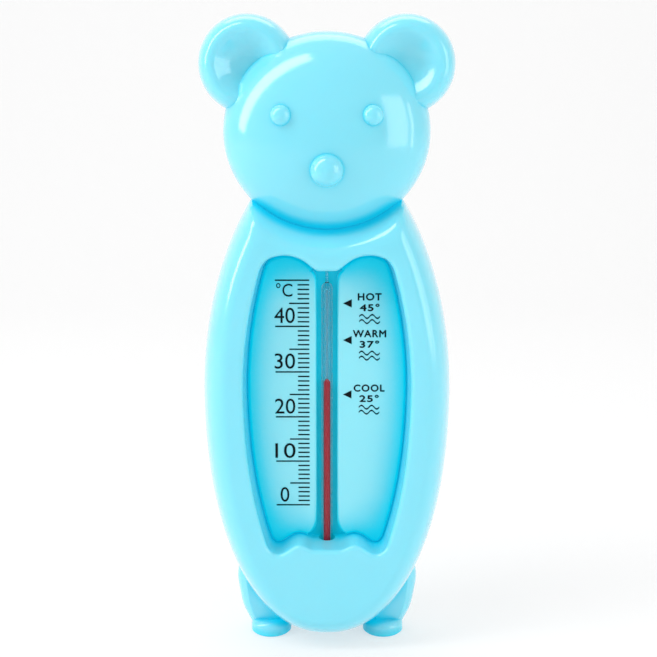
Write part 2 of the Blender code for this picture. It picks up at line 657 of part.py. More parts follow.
def channel_outline(grow):
    """Plan of the channel between the pads, flared at its lower end, anticlockwise seen from the front."""
    low, high = SILL_Z - PLATE_FLANGE - CUT_MARGIN, LOBE_TOP_Z + PLATE_FLANGE
    edge = CHANNEL_HALF_WIDTH + grow
    flare_end_z = CHANNEL_FLARE_Z - CHANNEL_FLARE_HEIGHT
    right = [(edge + CHANNEL_FLARE_WIDTH, low)]
    for i in range(FLARE_STEPS + 1):
        angle = math.pi / 2.0 * (1.0 - i / FLARE_STEPS)
        right.append((edge + CHANNEL_FLARE_WIDTH * (1.0 - math.cos(angle)),
                      flare_end_z + CHANNEL_FLARE_HEIGHT * (1.0 - math.sin(angle))))
    right.append((edge, high))
    return right + [(-x, z) for x, z in reversed(right)]


def pads():
    """The two raised pads, rounded along their front edges and parted by the tube's channel."""
    outline = window_outline()
    steps = FILLET_STEPS + 1
    rings = [ring(offset_outline(outline, PAD_OFFSET), -CHANNEL_DEPTH + PLATE_THICKNESS / 2.0)]
    slot_rings = [ring(channel_outline(0.0), -CHANNEL_DEPTH + PLATE_THICKNESS / 4.0)]
    for step in range(steps + 1):
        angle = math.pi / 2.0 * step / steps
        inset = PAD_EDGE_ROUND * (1.0 - math.cos(angle))
        depth = PAD_DEPTH - PAD_EDGE_ROUND * (1.0 - math.sin(angle))
        rings.append(ring(offset_outline(outline, PAD_OFFSET - inset), -depth))
    for step in range(steps):
        angle = math.pi / 2.0 * step / steps
        inset = CHANNEL_EDGE_ROUND * (1.0 - math.cos(angle))
        depth = PAD_DEPTH - CHANNEL_EDGE_ROUND * (1.0 - math.sin(angle))
        slot_rings.append(ring(channel_outline(inset), -depth))
    slot_rings.append(ring(channel_outline(CHANNEL_EDGE_ROUND), -PAD_DEPTH - CHANNEL_EDGE_ROUND))
    return combine(loft("pads", rings), [loft("channel", slot_rings)], "DIFFERENCE")


def pocket(side):
    """The hollow behind a pad, so that the plate keeps an even wall."""
    low, high = CHANNEL_FLARE_Z + PAD_WALL, BROW_Z - PAD_EDGE_ROUND - 2.0 * PAD_WALL
    near = CHANNEL_HALF_WIDTH + PAD_WALL
    heights = [low + (high - low) * i / POCKET_STEPS for i in range(POCKET_STEPS + 1)]
    outline = [(side * near, low)]
    outline += [(side * (window_side_x(z) + PAD_OFFSET - PAD_WALL), z) for z in heights]
    outline += [(side * near, high)]
    return loft("pocket", [ring(outline, CUT_MARGIN), ring(outline, -PAD_DEPTH + PAD_WALL)])


def scale_marks():
    """One bar for each degree, longer at each fifth and tenth, and the three pointers."""
    mesh_data = bmesh.new()
    back, front = -PAD_DEPTH + PRINT_RISE, -PAD_DEPTH - PRINT_RISE

    def prism(points):
        rear = [mesh_data.verts.new((x, back, z)) for x, z in points]
        face = [mesh_data.verts.new((x, front, z)) for x, z in points]
        mesh_data.faces.new(rear)
        mesh_data.faces.new(face)
        for i in range(len(points)):
            j = (i + 1) % len(points)
            mesh_data.faces.new((rear[i], rear[j], face[j], face[i]))

    right = -CHANNEL_HALF_WIDTH - SCALE_GAP
    for degree in range(SCALE_TOP + 1):
        step = max(size for size in MARK_LENGTHS if degree % size == 0)
        left = right - MARK_LENGTHS[step]
        low = ZERO_Z + degree * DEGREE - MARK_THICKNESS / 2.0
        prism([(left, low), (right, low), (right, low + MARK_THICKNESS), (left, low + MARK_THICKNESS)])
    tip = CHANNEL_HALF_WIDTH + POINTER_GAP
    base = tip + POINTER_LENGTH
    for temperature in POINTER_TEMPERATURES:
        z = ZERO_Z + temperature * DEGREE
        prism([(tip, z), (base, z - POINTER_HALF_HEIGHT), (base, z + POINTER_HALF_HEIGHT)])
    return new_object("marks", mesh_data)


def scale_plate(surface):
    """Plate behind the window: a flange that backs the skirt, two pads and the marks of the scale."""
    outline = offset_outline(window_outline(), SKIRT_FOOT_OFFSET + PLATE_FLANGE)
    plate = loft("plate", [ring(outline, -PLATE_BACK_DEPTH), ring(outline, -CHANNEL_DEPTH)])
    combine(plate, [pads()], "UNION")
    combine(plate, [pocket(-1.0), pocket(1.0)], "DIFFERENCE")
    combine(plate, [scale_marks()], "UNION")
    return finish(plate, "scale_plate", surface)


def dome_profile(radius, base_z, rise, steps):
    """Points of a domed end from its rim towards its peak, without the peak."""
    angles = [math.pi / 2.0 * i / steps for i in range(1, steps)]
    return [(radius * math.cos(angle), base_z + rise * math.sin(angle)) for angle in angles]


def glass_tube(surface):
    """Thick-walled capillary tube with a bulb at its lower end. Its bore is left open at the top."""
    inner = BULB_RADIUS - BULB_WALL
    tip = TUBE_TOP_Z - TUBE_RADIUS / 2.0
    profile = [(0.0, BULB_BOTTOM_Z)]
    profile += [(r, BULB_BOTTOM_Z + BULB_RADIUS - (z - BULB_BOTTOM_Z)) for r, z in
                reversed(dome_profile(BULB_RADIUS, BULB_BOTTOM_Z, BULB_RADIUS, DOME_STEPS))]
    profile += [(BULB_RADIUS, BULB_BOTTOM_Z + BULB_RADIUS), (BULB_RADIUS, BULB_TOP_Z)]
    profile += [(TUBE_RADIUS, NECK_TOP_Z), (TUBE_RADIUS, tip), ((TUBE_RADIUS + BORE_RADIUS) / 2.0, TUBE_TOP_Z)]
    profile += [(BORE_RADIUS, TUBE_TOP_Z), (BORE_RADIUS, NECK_TOP_Z), (inner, BULB_TOP_Z)]
    profile += [(inner, BULB_BOTTOM_Z + BULB_RADIUS)]
    profile += [(r, BULB_BOTTOM_Z + BULB_RADIUS - (z - BULB_BOTTOM_Z)) for r, z in
                dome_profile(inner, BULB_BOTTOM_Z, inner, DOME_STEPS)]
    profile += [(0.0, BULB_BOTTOM_Z + BULB_WALL)]
    return finish(turned("glass_tube", profile, -TUBE_DEPTH, TUBE_SIDES), "glass_tube", surface)


def red_spirit(surface):
    """The spirit in the bulb and its column up to the reading."""
    inner = BULB_RADIUS - BULB_WALL - SPIRIT_GAP
    bottom = BULB_BOTTOM_Z + BULB_WALL + SPIRIT_GAP
    column = BORE_RADIUS - SPIRIT_GAP
    middle = BULB_BOTTOM_Z + BULB_RADIUS
    profile = [(0.0, bottom)]
    profile += [(r, middle - (z - BULB_BOTTOM_Z)) for r, z in
                reversed(dome_profile(inner, BULB_BOTTOM_Z, inner, DOME_STEPS))]
    profile += [(inner, middle), (inner, BULB_TOP_Z - SPIRIT_GAP), (column, NECK_TOP_Z)]
    profile += [(column, ZERO_Z + READING * DEGREE), (0.0, ZERO_Z + READING * DEGREE)]
    return finish(turned("red_spirit", profile, -TUBE_DEPTH, TUBE_SIDES), "red_spirit", surface)


def bulb_cushion(surface):
    """Soft cup that carries the bulb on the back half's shelf."""
    bore = BULB_RADIUS + FIT
    outer = bore + CUSHION_WALL
    floor_z = BULB_BOTTOM_Z - FIT
    profile = [(0.0, floor_z - CUSHION_WALL), (outer, floor_z - CUSHION_WALL), (outer, floor_z + CUSHION_DEPTH),
               (bore, floor_z + CUSHION_DEPTH), (bore, floor_z), (0.0, floor_z)]
    return finish(turned("bulb_cushion", profile, -TUBE_DEPTH, TUBE_SIDES), "bulb_cushion", surface)


def main():
    """Clear the scene and build every piece."""
    for existing in list(bpy.data.objects):
        bpy.data.objects.remove(existing)
    shell_plastic = material("pale_blue_plastic", (0.30, 0.80, 0.95), 0.25)
    plate_plastic = material("plate_plastic", (0.28, 0.78, 0.93), 0.3)
    glass = material("glass", (0.85, 0.93, 0.96), 0.05, alpha=0.35, transmission=1.0)
    spirit = material("red_spirit", (0.45, 0.01, 0.03), 0.15)
    soft = material("soft_vinyl", (0.85, 0.86, 0.84), 0.6)
    pieces = [front_shell(shell_plastic), back_shell(shell_plastic), scale_plate(plate_plastic),
              glass_tube(glass), red_spirit(spirit), bulb_cushion(soft)]
    nose_tip = face_depth(0.0, NOSE_DOWN) + NOSE_RADIUS * BUTTON_FLATNESS
    origin = bpy.data.objects.new("bear", None)
    origin.location.y = (nose_tip - max(HEAD_BACK_DEPTH, BODY_BACK_DEPTH)) / 2.0
    bpy.context.scene.collection.objects.link(origin)
    for piece in pieces:
        piece.parent = origin


main()
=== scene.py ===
# %% [markdown]
# # A bear-shaped bath thermometer
#
# The part is a small plastic bear that stands on two feet. A window in its belly shows a degree scale and a
# red spirit tube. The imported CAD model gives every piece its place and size. This lesson builds finer
# surfaces over it, prints the scale, makes the materials and sets up a plain product photograph.

import math

import bmesh
import bpy
from mathutils import Matrix, Quaternion, Vector


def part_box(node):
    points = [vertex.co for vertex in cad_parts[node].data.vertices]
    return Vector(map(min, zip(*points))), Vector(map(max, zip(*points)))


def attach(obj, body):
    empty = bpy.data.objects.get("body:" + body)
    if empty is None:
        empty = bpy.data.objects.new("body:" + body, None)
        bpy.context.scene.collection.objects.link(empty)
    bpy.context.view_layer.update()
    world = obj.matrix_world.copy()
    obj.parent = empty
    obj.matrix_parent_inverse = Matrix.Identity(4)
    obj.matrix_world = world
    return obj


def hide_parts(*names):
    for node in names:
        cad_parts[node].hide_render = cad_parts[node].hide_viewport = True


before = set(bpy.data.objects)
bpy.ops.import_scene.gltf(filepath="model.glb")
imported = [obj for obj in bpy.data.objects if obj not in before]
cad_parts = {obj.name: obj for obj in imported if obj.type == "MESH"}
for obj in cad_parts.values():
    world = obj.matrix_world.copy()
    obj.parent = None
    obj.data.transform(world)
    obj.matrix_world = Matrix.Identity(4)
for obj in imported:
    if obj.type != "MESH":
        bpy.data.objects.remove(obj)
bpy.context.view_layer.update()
print("nodes:", sorted(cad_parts))

# %% [markdown]
# ## The sizes that the shapes share
#
# The two shell halves meet at an upright plane, and every depth is measured from it, forwards on the front
# half and backwards on the back half. The frame tells where that plane lies. The outlines repeat the real
# sizes of the mouldings, so that the fine surfaces lie on the CAD ones.

# %% Where the frame puts the parting plane, the tube and the window
MM = 0.001
FIT = 0.3 * MM
PARTING_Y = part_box("front_shell")[1].y + FIT / 2.0
tube_low, tube_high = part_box("glass_tube")
spirit_top_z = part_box("red_spirit")[1].z
TUBE_DEPTH = PARTING_Y - (tube_low.y + tube_high.y) / 2.0
print("parting plane at y = %.2f mm, tube %.2f mm in front of it" % (PARTING_Y / MM, TUBE_DEPTH / MM))

# %% Outline and depths of the body
BODY_HALF_WIDTH = 30.3 * MM
BODY_WIDEST_Z = 65.0 * MM
BODY_LOWER_REACH = 63.0 * MM
BODY_LOWER_POWER = 2.2
BODY_UPPER_REACH = 60.0 * MM
BODY_UPPER_POWER = 1.9
BODY_FRONT_DEPTH = 12.5 * MM
BODY_BACK_DEPTH = 13.0 * MM
BODY_EDGE_ROUND = 6.5 * MM
SHOULDER_BLEND = 4.0 * MM
WALL = 2.0 * MM
print("body %.1f mm wide, widest %.1f mm up" % (2.0 * BODY_HALF_WIDTH / MM, BODY_WIDEST_Z / MM))

# %% Sizes of the head
HEAD_HALF_WIDTH = 24.7 * MM
HEAD_HALF_HEIGHT = 23.5 * MM
HEAD_Z = 127.5 * MM
HEAD_FRONT_DEPTH = 15.0 * MM
HEAD_BACK_DEPTH = 14.0 * MM
HEAD_POWER = 2.15
NECK_OVERLAP = 1.2 * MM
print("head %.1f mm wide, its middle %.1f mm up" % (2.0 * HEAD_HALF_WIDTH / MM, HEAD_Z / MM))

# %% [markdown]
# ## Tools for making moulded shapes
#
# Injection-moulded shells are easiest to make as lofts: a stack of outlines, each a ring of points at one
# depth, skinned with quads. Lofts are then joined and cut with Boolean modifiers, as a tool maker adds and
# removes steel. The fine version uses many more points than the CAD one, so that highlights run smoothly.

# %% Lofts, turned shapes and blocks
CUT_MARGIN = 5.0 * MM
FAR = 200.0 * MM


def new_object(name, mesh_data):
    """Make an object from a bmesh whose faces are turned outwards."""
    bmesh.ops.recalc_face_normals(mesh_data, faces=mesh_data.faces)
    mesh = bpy.data.meshes.new(name)
    mesh_data.to_mesh(mesh)
    mesh_data.free()
    made = bpy.data.objects.new(name, mesh)
    bpy.context.scene.collection.objects.link(made)
    return made


def loft(name, rings, tip=None):
    """Skin a stack of rings with equal numbers of points. The end is a flat cap, or a fan to the tip."""
    mesh_data = bmesh.new()
    rows = [[mesh_data.verts.new(point) for point in ring] for ring in rings]
    for lower, upper in zip(rows, rows[1:]):
        for i in range(len(lower)):
            j = (i + 1) % len(lower)
            mesh_data.faces.new((lower[i], lower[j], upper[j], upper[i]))
    mesh_data.faces.new(rows[0])
    if tip is None:
        mesh_data.faces.new(rows[-1])
    else:
        peak = mesh_data.verts.new(tip)
        for i in range(len(rows[-1])):
            mesh_data.faces.new((rows[-1][i], rows[-1][(i + 1) % len(rows[-1])], peak))
    return new_object(name, mesh_data)


def turned(name, profile, centre_y, sides):
    """Turn a closed profile of (radius, height) points round an upright axis. Radius 0 is a pole."""
    mesh_data = bmesh.new()
    rows = []
    for radius, height in profile:
        if radius == 0.0:
            rows.append([mesh_data.verts.new((0.0, centre_y, height))] * sides)
            continue
        row = []
        for i in range(sides):
            turn = 2.0 * math.pi * (i + 0.5) / sides
            place = (radius * math.cos(turn), centre_y + radius * math.sin(turn), height)
            row.append(mesh_data.verts.new(place))
        rows.append(row)
    joins = list(zip(rows, rows[1:]))
    if profile[0][0] > 0.0:
        joins.append((rows[-1], rows[0]))
    for lower, upper in joins:
        for i in range(sides):
            j = (i + 1) % sides
            corners = []
            for vertex in (lower[i], lower[j], upper[j], upper[i]):
                if vertex not in corners:
                    corners.append(vertex)
            mesh_data.faces.new(corners)
    return new_object(name, mesh_data)


def block(name, low, high):
    """A box between two corners."""
    mesh_data = bmesh.new()
    bmesh.ops.create_cube(mesh_data, size=1.0)
    low, high = Vector(low), Vector(high)
    for vertex in mesh_data.verts:
        vertex.co = low + (vertex.co + Vector((0.5, 0.5, 0.5))) * (high - low)
    return new_object(name, mesh_data)


# %% Booleans and finishing
def finished_mesh(made):
    """A new mesh of an object as its modifiers, or its lettering, make it."""
    bpy.context.view_layer.update()
    evaluated = made.evaluated_get(bpy.context.evaluated_depsgraph_get())
    return bpy.data.meshes.new_from_object(evaluated)


def combine(target, tools, operation):
    """Run Boolean modifiers on the target one by one, keep the result and remove the tools."""
    for tool in tools:
        step = target.modifiers.new(tool.name, "BOOLEAN")
        step.operation = operation
        step.solver = "MANIFOLD"
        step.object = tool
        result = finished_mesh(target)
        target.modifiers.remove(step)
        target.data = result
        bpy.data.objects.remove(tool)
    return target


SHARP_ANGLE = math.radians(32.0)


def dress(made, name, surface, replaced=None):
    """Name a piece, place it, smooth it, give it its material and hide the CAD node it stands for."""
    made.name = name
    made.data.name = name
    made.data.materials.clear()
    made.data.materials.append(surface)
    made.data.shade_smooth()
    made.data.set_sharp_from_angle(angle=SHARP_ANGLE)
    # A large flat face then keeps its own normal, and the small faces beside it carry the whole turn
    weighted = made.modifiers.new("weighted normals", "WEIGHTED_NORMAL")
    weighted.keep_sharp = True
    made.location.y = PARTING_Y
    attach(made, "root")
    if replaced:
        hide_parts(replaced)
    print(name, len(made.data.polygons), "faces")
    return made


def ring(outline, y):
    """Stand a flat outline of (x, z) points at a depth y."""
    return [(x, y, z) for x, z in outline]


# %% [markdown]
# ## Colours and surfaces
#
# The bear is one pale blue plastic all over, glossy and slightly milky, so light that enters it comes out
# again nearby. Ambient occlusion finds the closed-in places, and painted shade goes there: a deeper, more
# saturated colour and less gloss, with a painted glow that keeps them from going dark. Clouds, orange peel
# and uneven gloss serve the shells and the plate alike, so they are built once as a shader node group with a
# colour, a roughness and a height.

# %% Helpers for shader nodes
def add_node(tree, kind, **values):
    """Add a node and set the inputs that are given by name."""
    node = tree.nodes.new(kind)
    for key, value in values.items():
        node.inputs[key.replace("_", " ")].default_value = value
    return node


def new_group(name, inputs, outputs):
    """An empty shader group with named sockets, as (tree, input node, output node)."""
    tree = bpy.data.node_groups.new(name, "ShaderNodeTree")
    for label, kind in inputs:
        tree.interface.new_socket(name=label, in_out="INPUT", socket_type=kind)
    for label, kind in outputs:
        tree.interface.new_socket(name=label, in_out="OUTPUT", socket_type=kind)
    return tree, tree.nodes.new("NodeGroupInput"), tree.nodes.new("NodeGroupOutput")


# A Mix node has sockets for every kind of data, and these are the ones that a mix of colours uses
MIX_FACTOR, MIX_FIRST, MIX_SECOND, MIX_RESULT = 0, 6, 7, 2


def mix_colour(tree, factor, first, second):
    """Mix two colours by a factor. Each of the three is a socket or a plain value."""
    node = tree.nodes.new("ShaderNodeMix")
    node.data_type = "RGBA"
    for place, value in ((MIX_FACTOR, factor), (MIX_FIRST, first), (MIX_SECOND, second)):
        socket = node.inputs[place]
        if isinstance(value, bpy.types.NodeSocket):
            tree.links.new(value, socket)
        else:
            socket.default_value = value
    return node.outputs[MIX_RESULT]


def sum_of(tree, first, factor, offset):
    """A socket times a factor plus an offset."""
    node = tree.nodes.new("ShaderNodeMath")
    node.operation = "MULTIPLY_ADD"
    tree.links.new(first, node.inputs[0])
    node.inputs[1].default_value = factor
    node.inputs[2].default_value = offset
    return node.outputs[0]


# %% The moulded skin: cloudy colour, a faint orange peel and slightly uneven gloss
GLOSS_SWING = 0.10


def build_moulded_skin():
    """Group with the colour, roughness and height of a moulded plastic surface."""
    tree, given, out = new_group(
        "moulded_skin",
        (("Colour", "NodeSocketColor"), ("Cloud Colour", "NodeSocketColor"), ("Cloud", "NodeSocketFloat"),
         ("Roughness", "NodeSocketFloat")),
        (("Colour", "NodeSocketColor"), ("Roughness", "NodeSocketFloat"), ("Height", "NodeSocketFloat")))
    place = tree.nodes.new("ShaderNodeTexCoord")
    clouds = add_node(tree, "ShaderNodeTexNoise", Scale=55.0, Detail=2.0, Roughness=0.45)
    peel = add_node(tree, "ShaderNodeTexNoise", Scale=420.0, Detail=1.0, Roughness=0.4)
    handling = add_node(tree, "ShaderNodeTexNoise", Scale=170.0, Detail=3.0, Roughness=0.55)
    for node in (clouds, peel, handling):
        tree.links.new(place.outputs["Object"], node.inputs["Vector"])
    share = tree.nodes.new("ShaderNodeMath")
    share.operation = "MULTIPLY"
    tree.links.new(clouds.outputs["Fac"], share.inputs[0])
    tree.links.new(given.outputs["Cloud"], share.inputs[1])
    colour = mix_colour(tree, share.outputs[0], given.outputs["Colour"], given.outputs["Cloud Colour"])
    tree.links.new(colour, out.inputs["Colour"])
    uneven = sum_of(tree, handling.outputs["Fac"], GLOSS_SWING, -GLOSS_SWING / 2.0)
    gloss = tree.nodes.new("ShaderNodeMath")
    tree.links.new(given.outputs["Roughness"], gloss.inputs[0])
    tree.links.new(uneven, gloss.inputs[1])
    tree.links.new(gloss.outputs[0], out.inputs["Roughness"])
    tree.links.new(peel.outputs["Fac"], out.inputs["Height"])
    return tree


moulded_skin = build_moulded_skin()
print("group:", moulded_skin.name)

# %% Pale blue plastics
# Each plastic has an open colour and a deeper one, used for its clouds and as painted shade where the surface
# is closed in
SHELL_COLOUR = (0.22, 0.765, 0.92, 1.0)
SHELL_CLOUD_AND_SHADE = (0.0, 0.62, 0.80, 1.0)
PLATE_COLOUR = (0.27, 0.82, 0.95, 1.0)
PLATE_CLOUD_AND_SHADE = (0.0, 0.60, 0.76, 1.0)
CLOUD_SHARE = 0.12
PEEL_STRENGTH = 0.12
PEEL_HEIGHT = 0.02 * MM
CLOSED_SAMPLES = 12
# The emission is a painted glow in the deep colour, which lifts closed-in places that the lamps don't reach
MILKY_PLASTIC = {
    "IOR": 1.49, "Specular IOR Level": 0.2, "Coat Roughness": 0.13, "Coat IOR": 1.7,
    "Subsurface Weight": 0.35, "Subsurface Scale": 2.0 * MM, "Subsurface Radius": (0.2, 0.9, 1.0),
    "Sheen Weight": 0.12, "Sheen Roughness": 0.35, "Emission Strength": 0.2,
}


def blue_plastic(name, colour, deep, roughness, reach, closed_to, open_from):
    """Milky blue plastic: the skin group, with painted shade (a deeper colour and less gloss) and a painted
    glow where the surface is closed in.
    """
    made = bpy.data.materials.new(name)
    made.use_nodes = True
    tree = made.node_tree
    shader = tree.nodes["Principled BSDF"]
    for key, value in MILKY_PLASTIC.items():
        shader.inputs[key].default_value = value
    skin = tree.nodes.new("ShaderNodeGroup")
    skin.node_tree = moulded_skin
    skin.inputs["Colour"].default_value = colour
    skin.inputs["Cloud Colour"].default_value = deep
    skin.inputs["Cloud"].default_value = CLOUD_SHARE
    skin.inputs["Roughness"].default_value = roughness
    # Ambient occlusion marks the closed-in places for the painted shade and the painted glow
    closed = add_node(tree, "ShaderNodeAmbientOcclusion", Distance=reach)
    closed.samples = CLOSED_SAMPLES
    shade = tree.nodes.new("ShaderNodeMapRange")
    shade.inputs["From Min"].default_value = closed_to
    shade.inputs["From Max"].default_value = open_from
    tree.links.new(closed.outputs["AO"], shade.inputs["Value"])
    # Squared, so that half-closed places such as the window's walls take most of the painted shade and lose
    # most of their pale gloss
    openness = tree.nodes.new("ShaderNodeMath")
    openness.operation = "POWER"
    openness.inputs[1].default_value = 2.0
    tree.links.new(shade.outputs[0], openness.inputs[0])
    # Painted shade: the colour turns deeper where the surface is closed in
    pigment_and_painted_shade = mix_colour(tree, openness.outputs[0], deep, skin.outputs["Colour"])
    # Painted glow: closed-in places glow in the deep colour
    glow = mix_colour(tree, shade.outputs[0], deep, (0.0, 0.0, 0.0, 1.0))
    tree.links.new(pigment_and_painted_shade, shader.inputs["Base Color"])
    tree.links.new(glow, shader.inputs["Emission Color"])
    tree.links.new(skin.outputs["Roughness"], shader.inputs["Roughness"])
    # Painted shade on the gloss: the coat fades where the surface is closed in
    tree.links.new(openness.outputs[0], shader.inputs["Coat Weight"])
    bump = add_node(tree, "ShaderNodeBump", Strength=PEEL_STRENGTH, Distance=PEEL_HEIGHT)
    tree.links.new(skin.outputs["Height"], bump.inputs["Height"])
    tree.links.new(bump.outputs["Normal"], shader.inputs["Normal"])
    return made


shell_plastic = blue_plastic("shell_plastic", SHELL_COLOUR, SHELL_CLOUD_AND_SHADE, roughness=0.2, reach=4.0 * MM,
                             closed_to=0.25, open_from=0.88)
plate_plastic = blue_plastic("plate_plastic", PLATE_COLOUR, PLATE_CLOUD_AND_SHADE, roughness=0.3, reach=12.0 * MM,
                             closed_to=0.6, open_from=0.87)
print("materials:", shell_plastic.name, plate_plastic.name)

# %% [markdown]
# ## The clear tube, the spirit, the soft seat and the ink
#
# Glass is a Principled shader that lets nearly all light through, with a little haze, as a drawn tube has.
# Its shadow would come out black, because a path tracer doesn't follow light through glass to a lamp, so
# shadow rays pass through a transparent shader instead. The seat under the bulb is plain grey vinyl, and
# the ink is matt. The spirit is an opaque, wet red, because the tube in front of it already bends and
# brightens it.

# %% Glass, spirit, vinyl and ink
def plain_material(name, colour, roughness, **values):
    """A Principled material with the inputs that are given by name."""
    made = bpy.data.materials.new(name)
    made.use_nodes = True
    shader = made.node_tree.nodes["Principled BSDF"]
    shader.inputs["Base Color"].default_value = colour
    shader.inputs["Roughness"].default_value = roughness
    for key, value in values.items():
        shader.inputs[key.replace("_", " ")].default_value = value
    return made, shader


GLASS_TINT = (0.82, 0.88, 0.91, 1.0)
GLASS_SHADOW = (0.88, 0.95, 0.96, 1.0)


def build_glass():
    """Slightly grey, slightly hazy glass that lets shadow rays through."""
    made, shader = plain_material("tube_glass", GLASS_TINT, roughness=0.15, IOR=1.47,
                                  Transmission_Weight=0.995)
    tree = made.node_tree
    path = tree.nodes.new("ShaderNodeLightPath")
    clear = add_node(tree, "ShaderNodeBsdfTransparent", Color=GLASS_SHADOW)
    mix = tree.nodes.new("ShaderNodeMixShader")
    tree.links.new(path.outputs["Is Shadow Ray"], mix.inputs[0])
    tree.links.new(shader.outputs[0], mix.inputs[1])
    tree.links.new(clear.outputs[0], mix.inputs[2])
    tree.links.new(mix.outputs[0], tree.nodes["Material Output"].inputs["Surface"])
    return made


WEAR_SWING = 0.2


def build_speckled(name, colour, other, roughness, scale, gloss):
    """A material whose colour and roughness vary a little over the surface."""
    made, shader = plain_material(name, colour, roughness, Specular_IOR_Level=gloss)
    tree = made.node_tree
    place = tree.nodes.new("ShaderNodeTexCoord")
    noise = add_node(tree, "ShaderNodeTexNoise", Scale=scale, Detail=3.0)
    tree.links.new(place.outputs["Object"], noise.inputs["Vector"])
    tree.links.new(mix_colour(tree, noise.outputs["Fac"], colour, other), shader.inputs["Base Color"])
    uneven = sum_of(tree, noise.outputs["Fac"], WEAR_SWING, roughness - WEAR_SWING / 2.0)
    tree.links.new(uneven, shader.inputs["Roughness"])
    return made


tube_glass = build_glass()
red_liquid = build_speckled("red_spirit", (0.62, 0.0, 0.03, 1.0), (0.44, 0.0, 0.015, 1.0),
                            roughness=0.3, scale=300.0, gloss=0.1)
soft_vinyl = build_speckled("soft_vinyl", (0.80, 0.82, 0.81, 1.0), (0.70, 0.73, 0.72, 1.0),
                            roughness=0.6, scale=500.0, gloss=0.5)
print_ink = build_speckled("print_ink", (0.001, 0.003, 0.004, 1.0), (0.004, 0.008, 0.010, 1.0),
                           roughness=0.6, scale=2200.0, gloss=0.12)
print("materials:", tube_glass.name, red_liquid.name, soft_vinyl.name, print_ink.name)

# %% [markdown]
# ## The body's outline
#
# The body is an egg, widest above its middle. Its top is hollowed to take the round head, and the two
# curves meet in soft shoulders. One function draws that outline at any inset, so the same rule makes the
# outer skin, the rounded edges and the inner wall.

# %% Body outline and half
BODY_SIDES = 280
ROUND_STEPS = 26
PLATEAU_STEPS = 7
PLATEAU_REACH = 15.0 * MM
CORE_SIDES = 56
CORE_STEPS = 5
SEAM_CHAMFER = 0.22 * MM
SEAM_HALF_GAP = 0.04 * MM


def soft_min(a, b, blend):
    """The smaller of two values, rounded off where they are within the blend of each other."""
    near = max(blend - abs(a - b), 0.0) / blend
    return min(a, b) - near * near * blend / 4.0


def body_outline(inset, sides):
    """The egg drawn in by an inset, with a hollow for the head in its top and soft shoulders."""
    head_width = HEAD_HALF_WIDTH - NECK_OVERLAP + inset
    head_height = HEAD_HALF_HEIGHT - NECK_OVERLAP + inset
    head_above = HEAD_Z - BODY_WIDEST_Z
    points = []
    for i in range(sides):
        turn = 2.0 * math.pi * i / sides
        upper = math.sin(turn) >= 0.0
        reach = BODY_UPPER_REACH if upper else BODY_LOWER_REACH
        power = BODY_UPPER_POWER if upper else BODY_LOWER_POWER
        x, z = BODY_HALF_WIDTH * math.cos(turn), reach * math.sin(turn)
        x, z = x / math.hypot(x, z), z / math.hypot(x, z)
        egg = (abs(x) / (BODY_HALF_WIDTH - inset)) ** power + (abs(z) / (reach - inset)) ** power
        distance = egg ** (-1.0 / power)
        square = (x / head_width) ** 2 + (z / head_height) ** 2
        half = z * head_above / head_height ** 2
        rest = (head_above / head_height) ** 2 - 1.0
        if upper and half * half > square * rest:
            collar = (half - math.sqrt(half * half - square * rest)) / square
            distance = soft_min(distance, collar, SHOULDER_BLEND)
        points.append((distance * x, BODY_WIDEST_Z + distance * z))
    return points


def seam_rings(outline_at, forward, chamfer):
    """Rings that cross the seam, then chamfer out to the full outline. outline_at takes an inset."""
    closed = outline_at(chamfer)
    return [ring(closed, -forward * CUT_MARGIN), ring(closed, forward * SEAM_HALF_GAP),
            ring(outline_at(0.0), forward * (SEAM_HALF_GAP + SEAM_CHAMFER))]


def body_half(name, forward, depth):
    """One rounded half of the body, with a fine chamfer at the seam. forward is -1 or +1 along Y."""
    rings = seam_rings(lambda inset: body_outline(inset, BODY_SIDES), forward, SEAM_CHAMFER)
    for step in range(1, ROUND_STEPS + 1):
        angle = math.pi / 2.0 * step / ROUND_STEPS
        inset = BODY_EDGE_ROUND * (1.0 - math.cos(angle))
        rings.append(ring(body_outline(inset, BODY_SIDES), forward * depth * math.sin(angle)))
    for step in range(1, PLATEAU_STEPS + 1):
        inset = BODY_EDGE_ROUND + PLATEAU_REACH * step / PLATEAU_STEPS
        rings.append(ring(body_outline(inset, BODY_SIDES), forward * depth))
    return loft(name, rings)


def body_core(name, forward, depth):
    """The hollow inside one half of the body."""
    edge = BODY_EDGE_ROUND - WALL
    rings = [ring(body_outline(WALL, CORE_SIDES), -forward * CUT_MARGIN)]
    for step in range(CORE_STEPS + 1):
        angle = math.pi / 2.0 * step / CORE_STEPS
        inset = WALL + edge * (1.0 - math.cos(angle))
        rings.append(ring(body_outline(inset, CORE_SIDES), forward * (depth - WALL) * math.sin(angle)))
    return loft(name, rings)


# %% [markdown]
# ## The head, the ears and the face
#
# The head is a full dome, a little flatter in its middle than a ball. Each ear has a round rim that falls
# to a shallow dish. The eyes and the nose are small balls, sunk to their middles in the face. A round form
# is best made with rings that crowd together where it turns fastest.

# %% Head halves
HEAD_SIDES = 180
HEAD_STEPS = 34
HEAD_CORE_SIDES = 36


def ellipse(out, up, half_width, half_height, sides):
    """An upright ellipse of (x, z) points."""
    turns = [2.0 * math.pi * i / sides for i in range(sides)]
    return [(out + half_width * math.cos(turn), up + half_height * math.sin(turn)) for turn in turns]


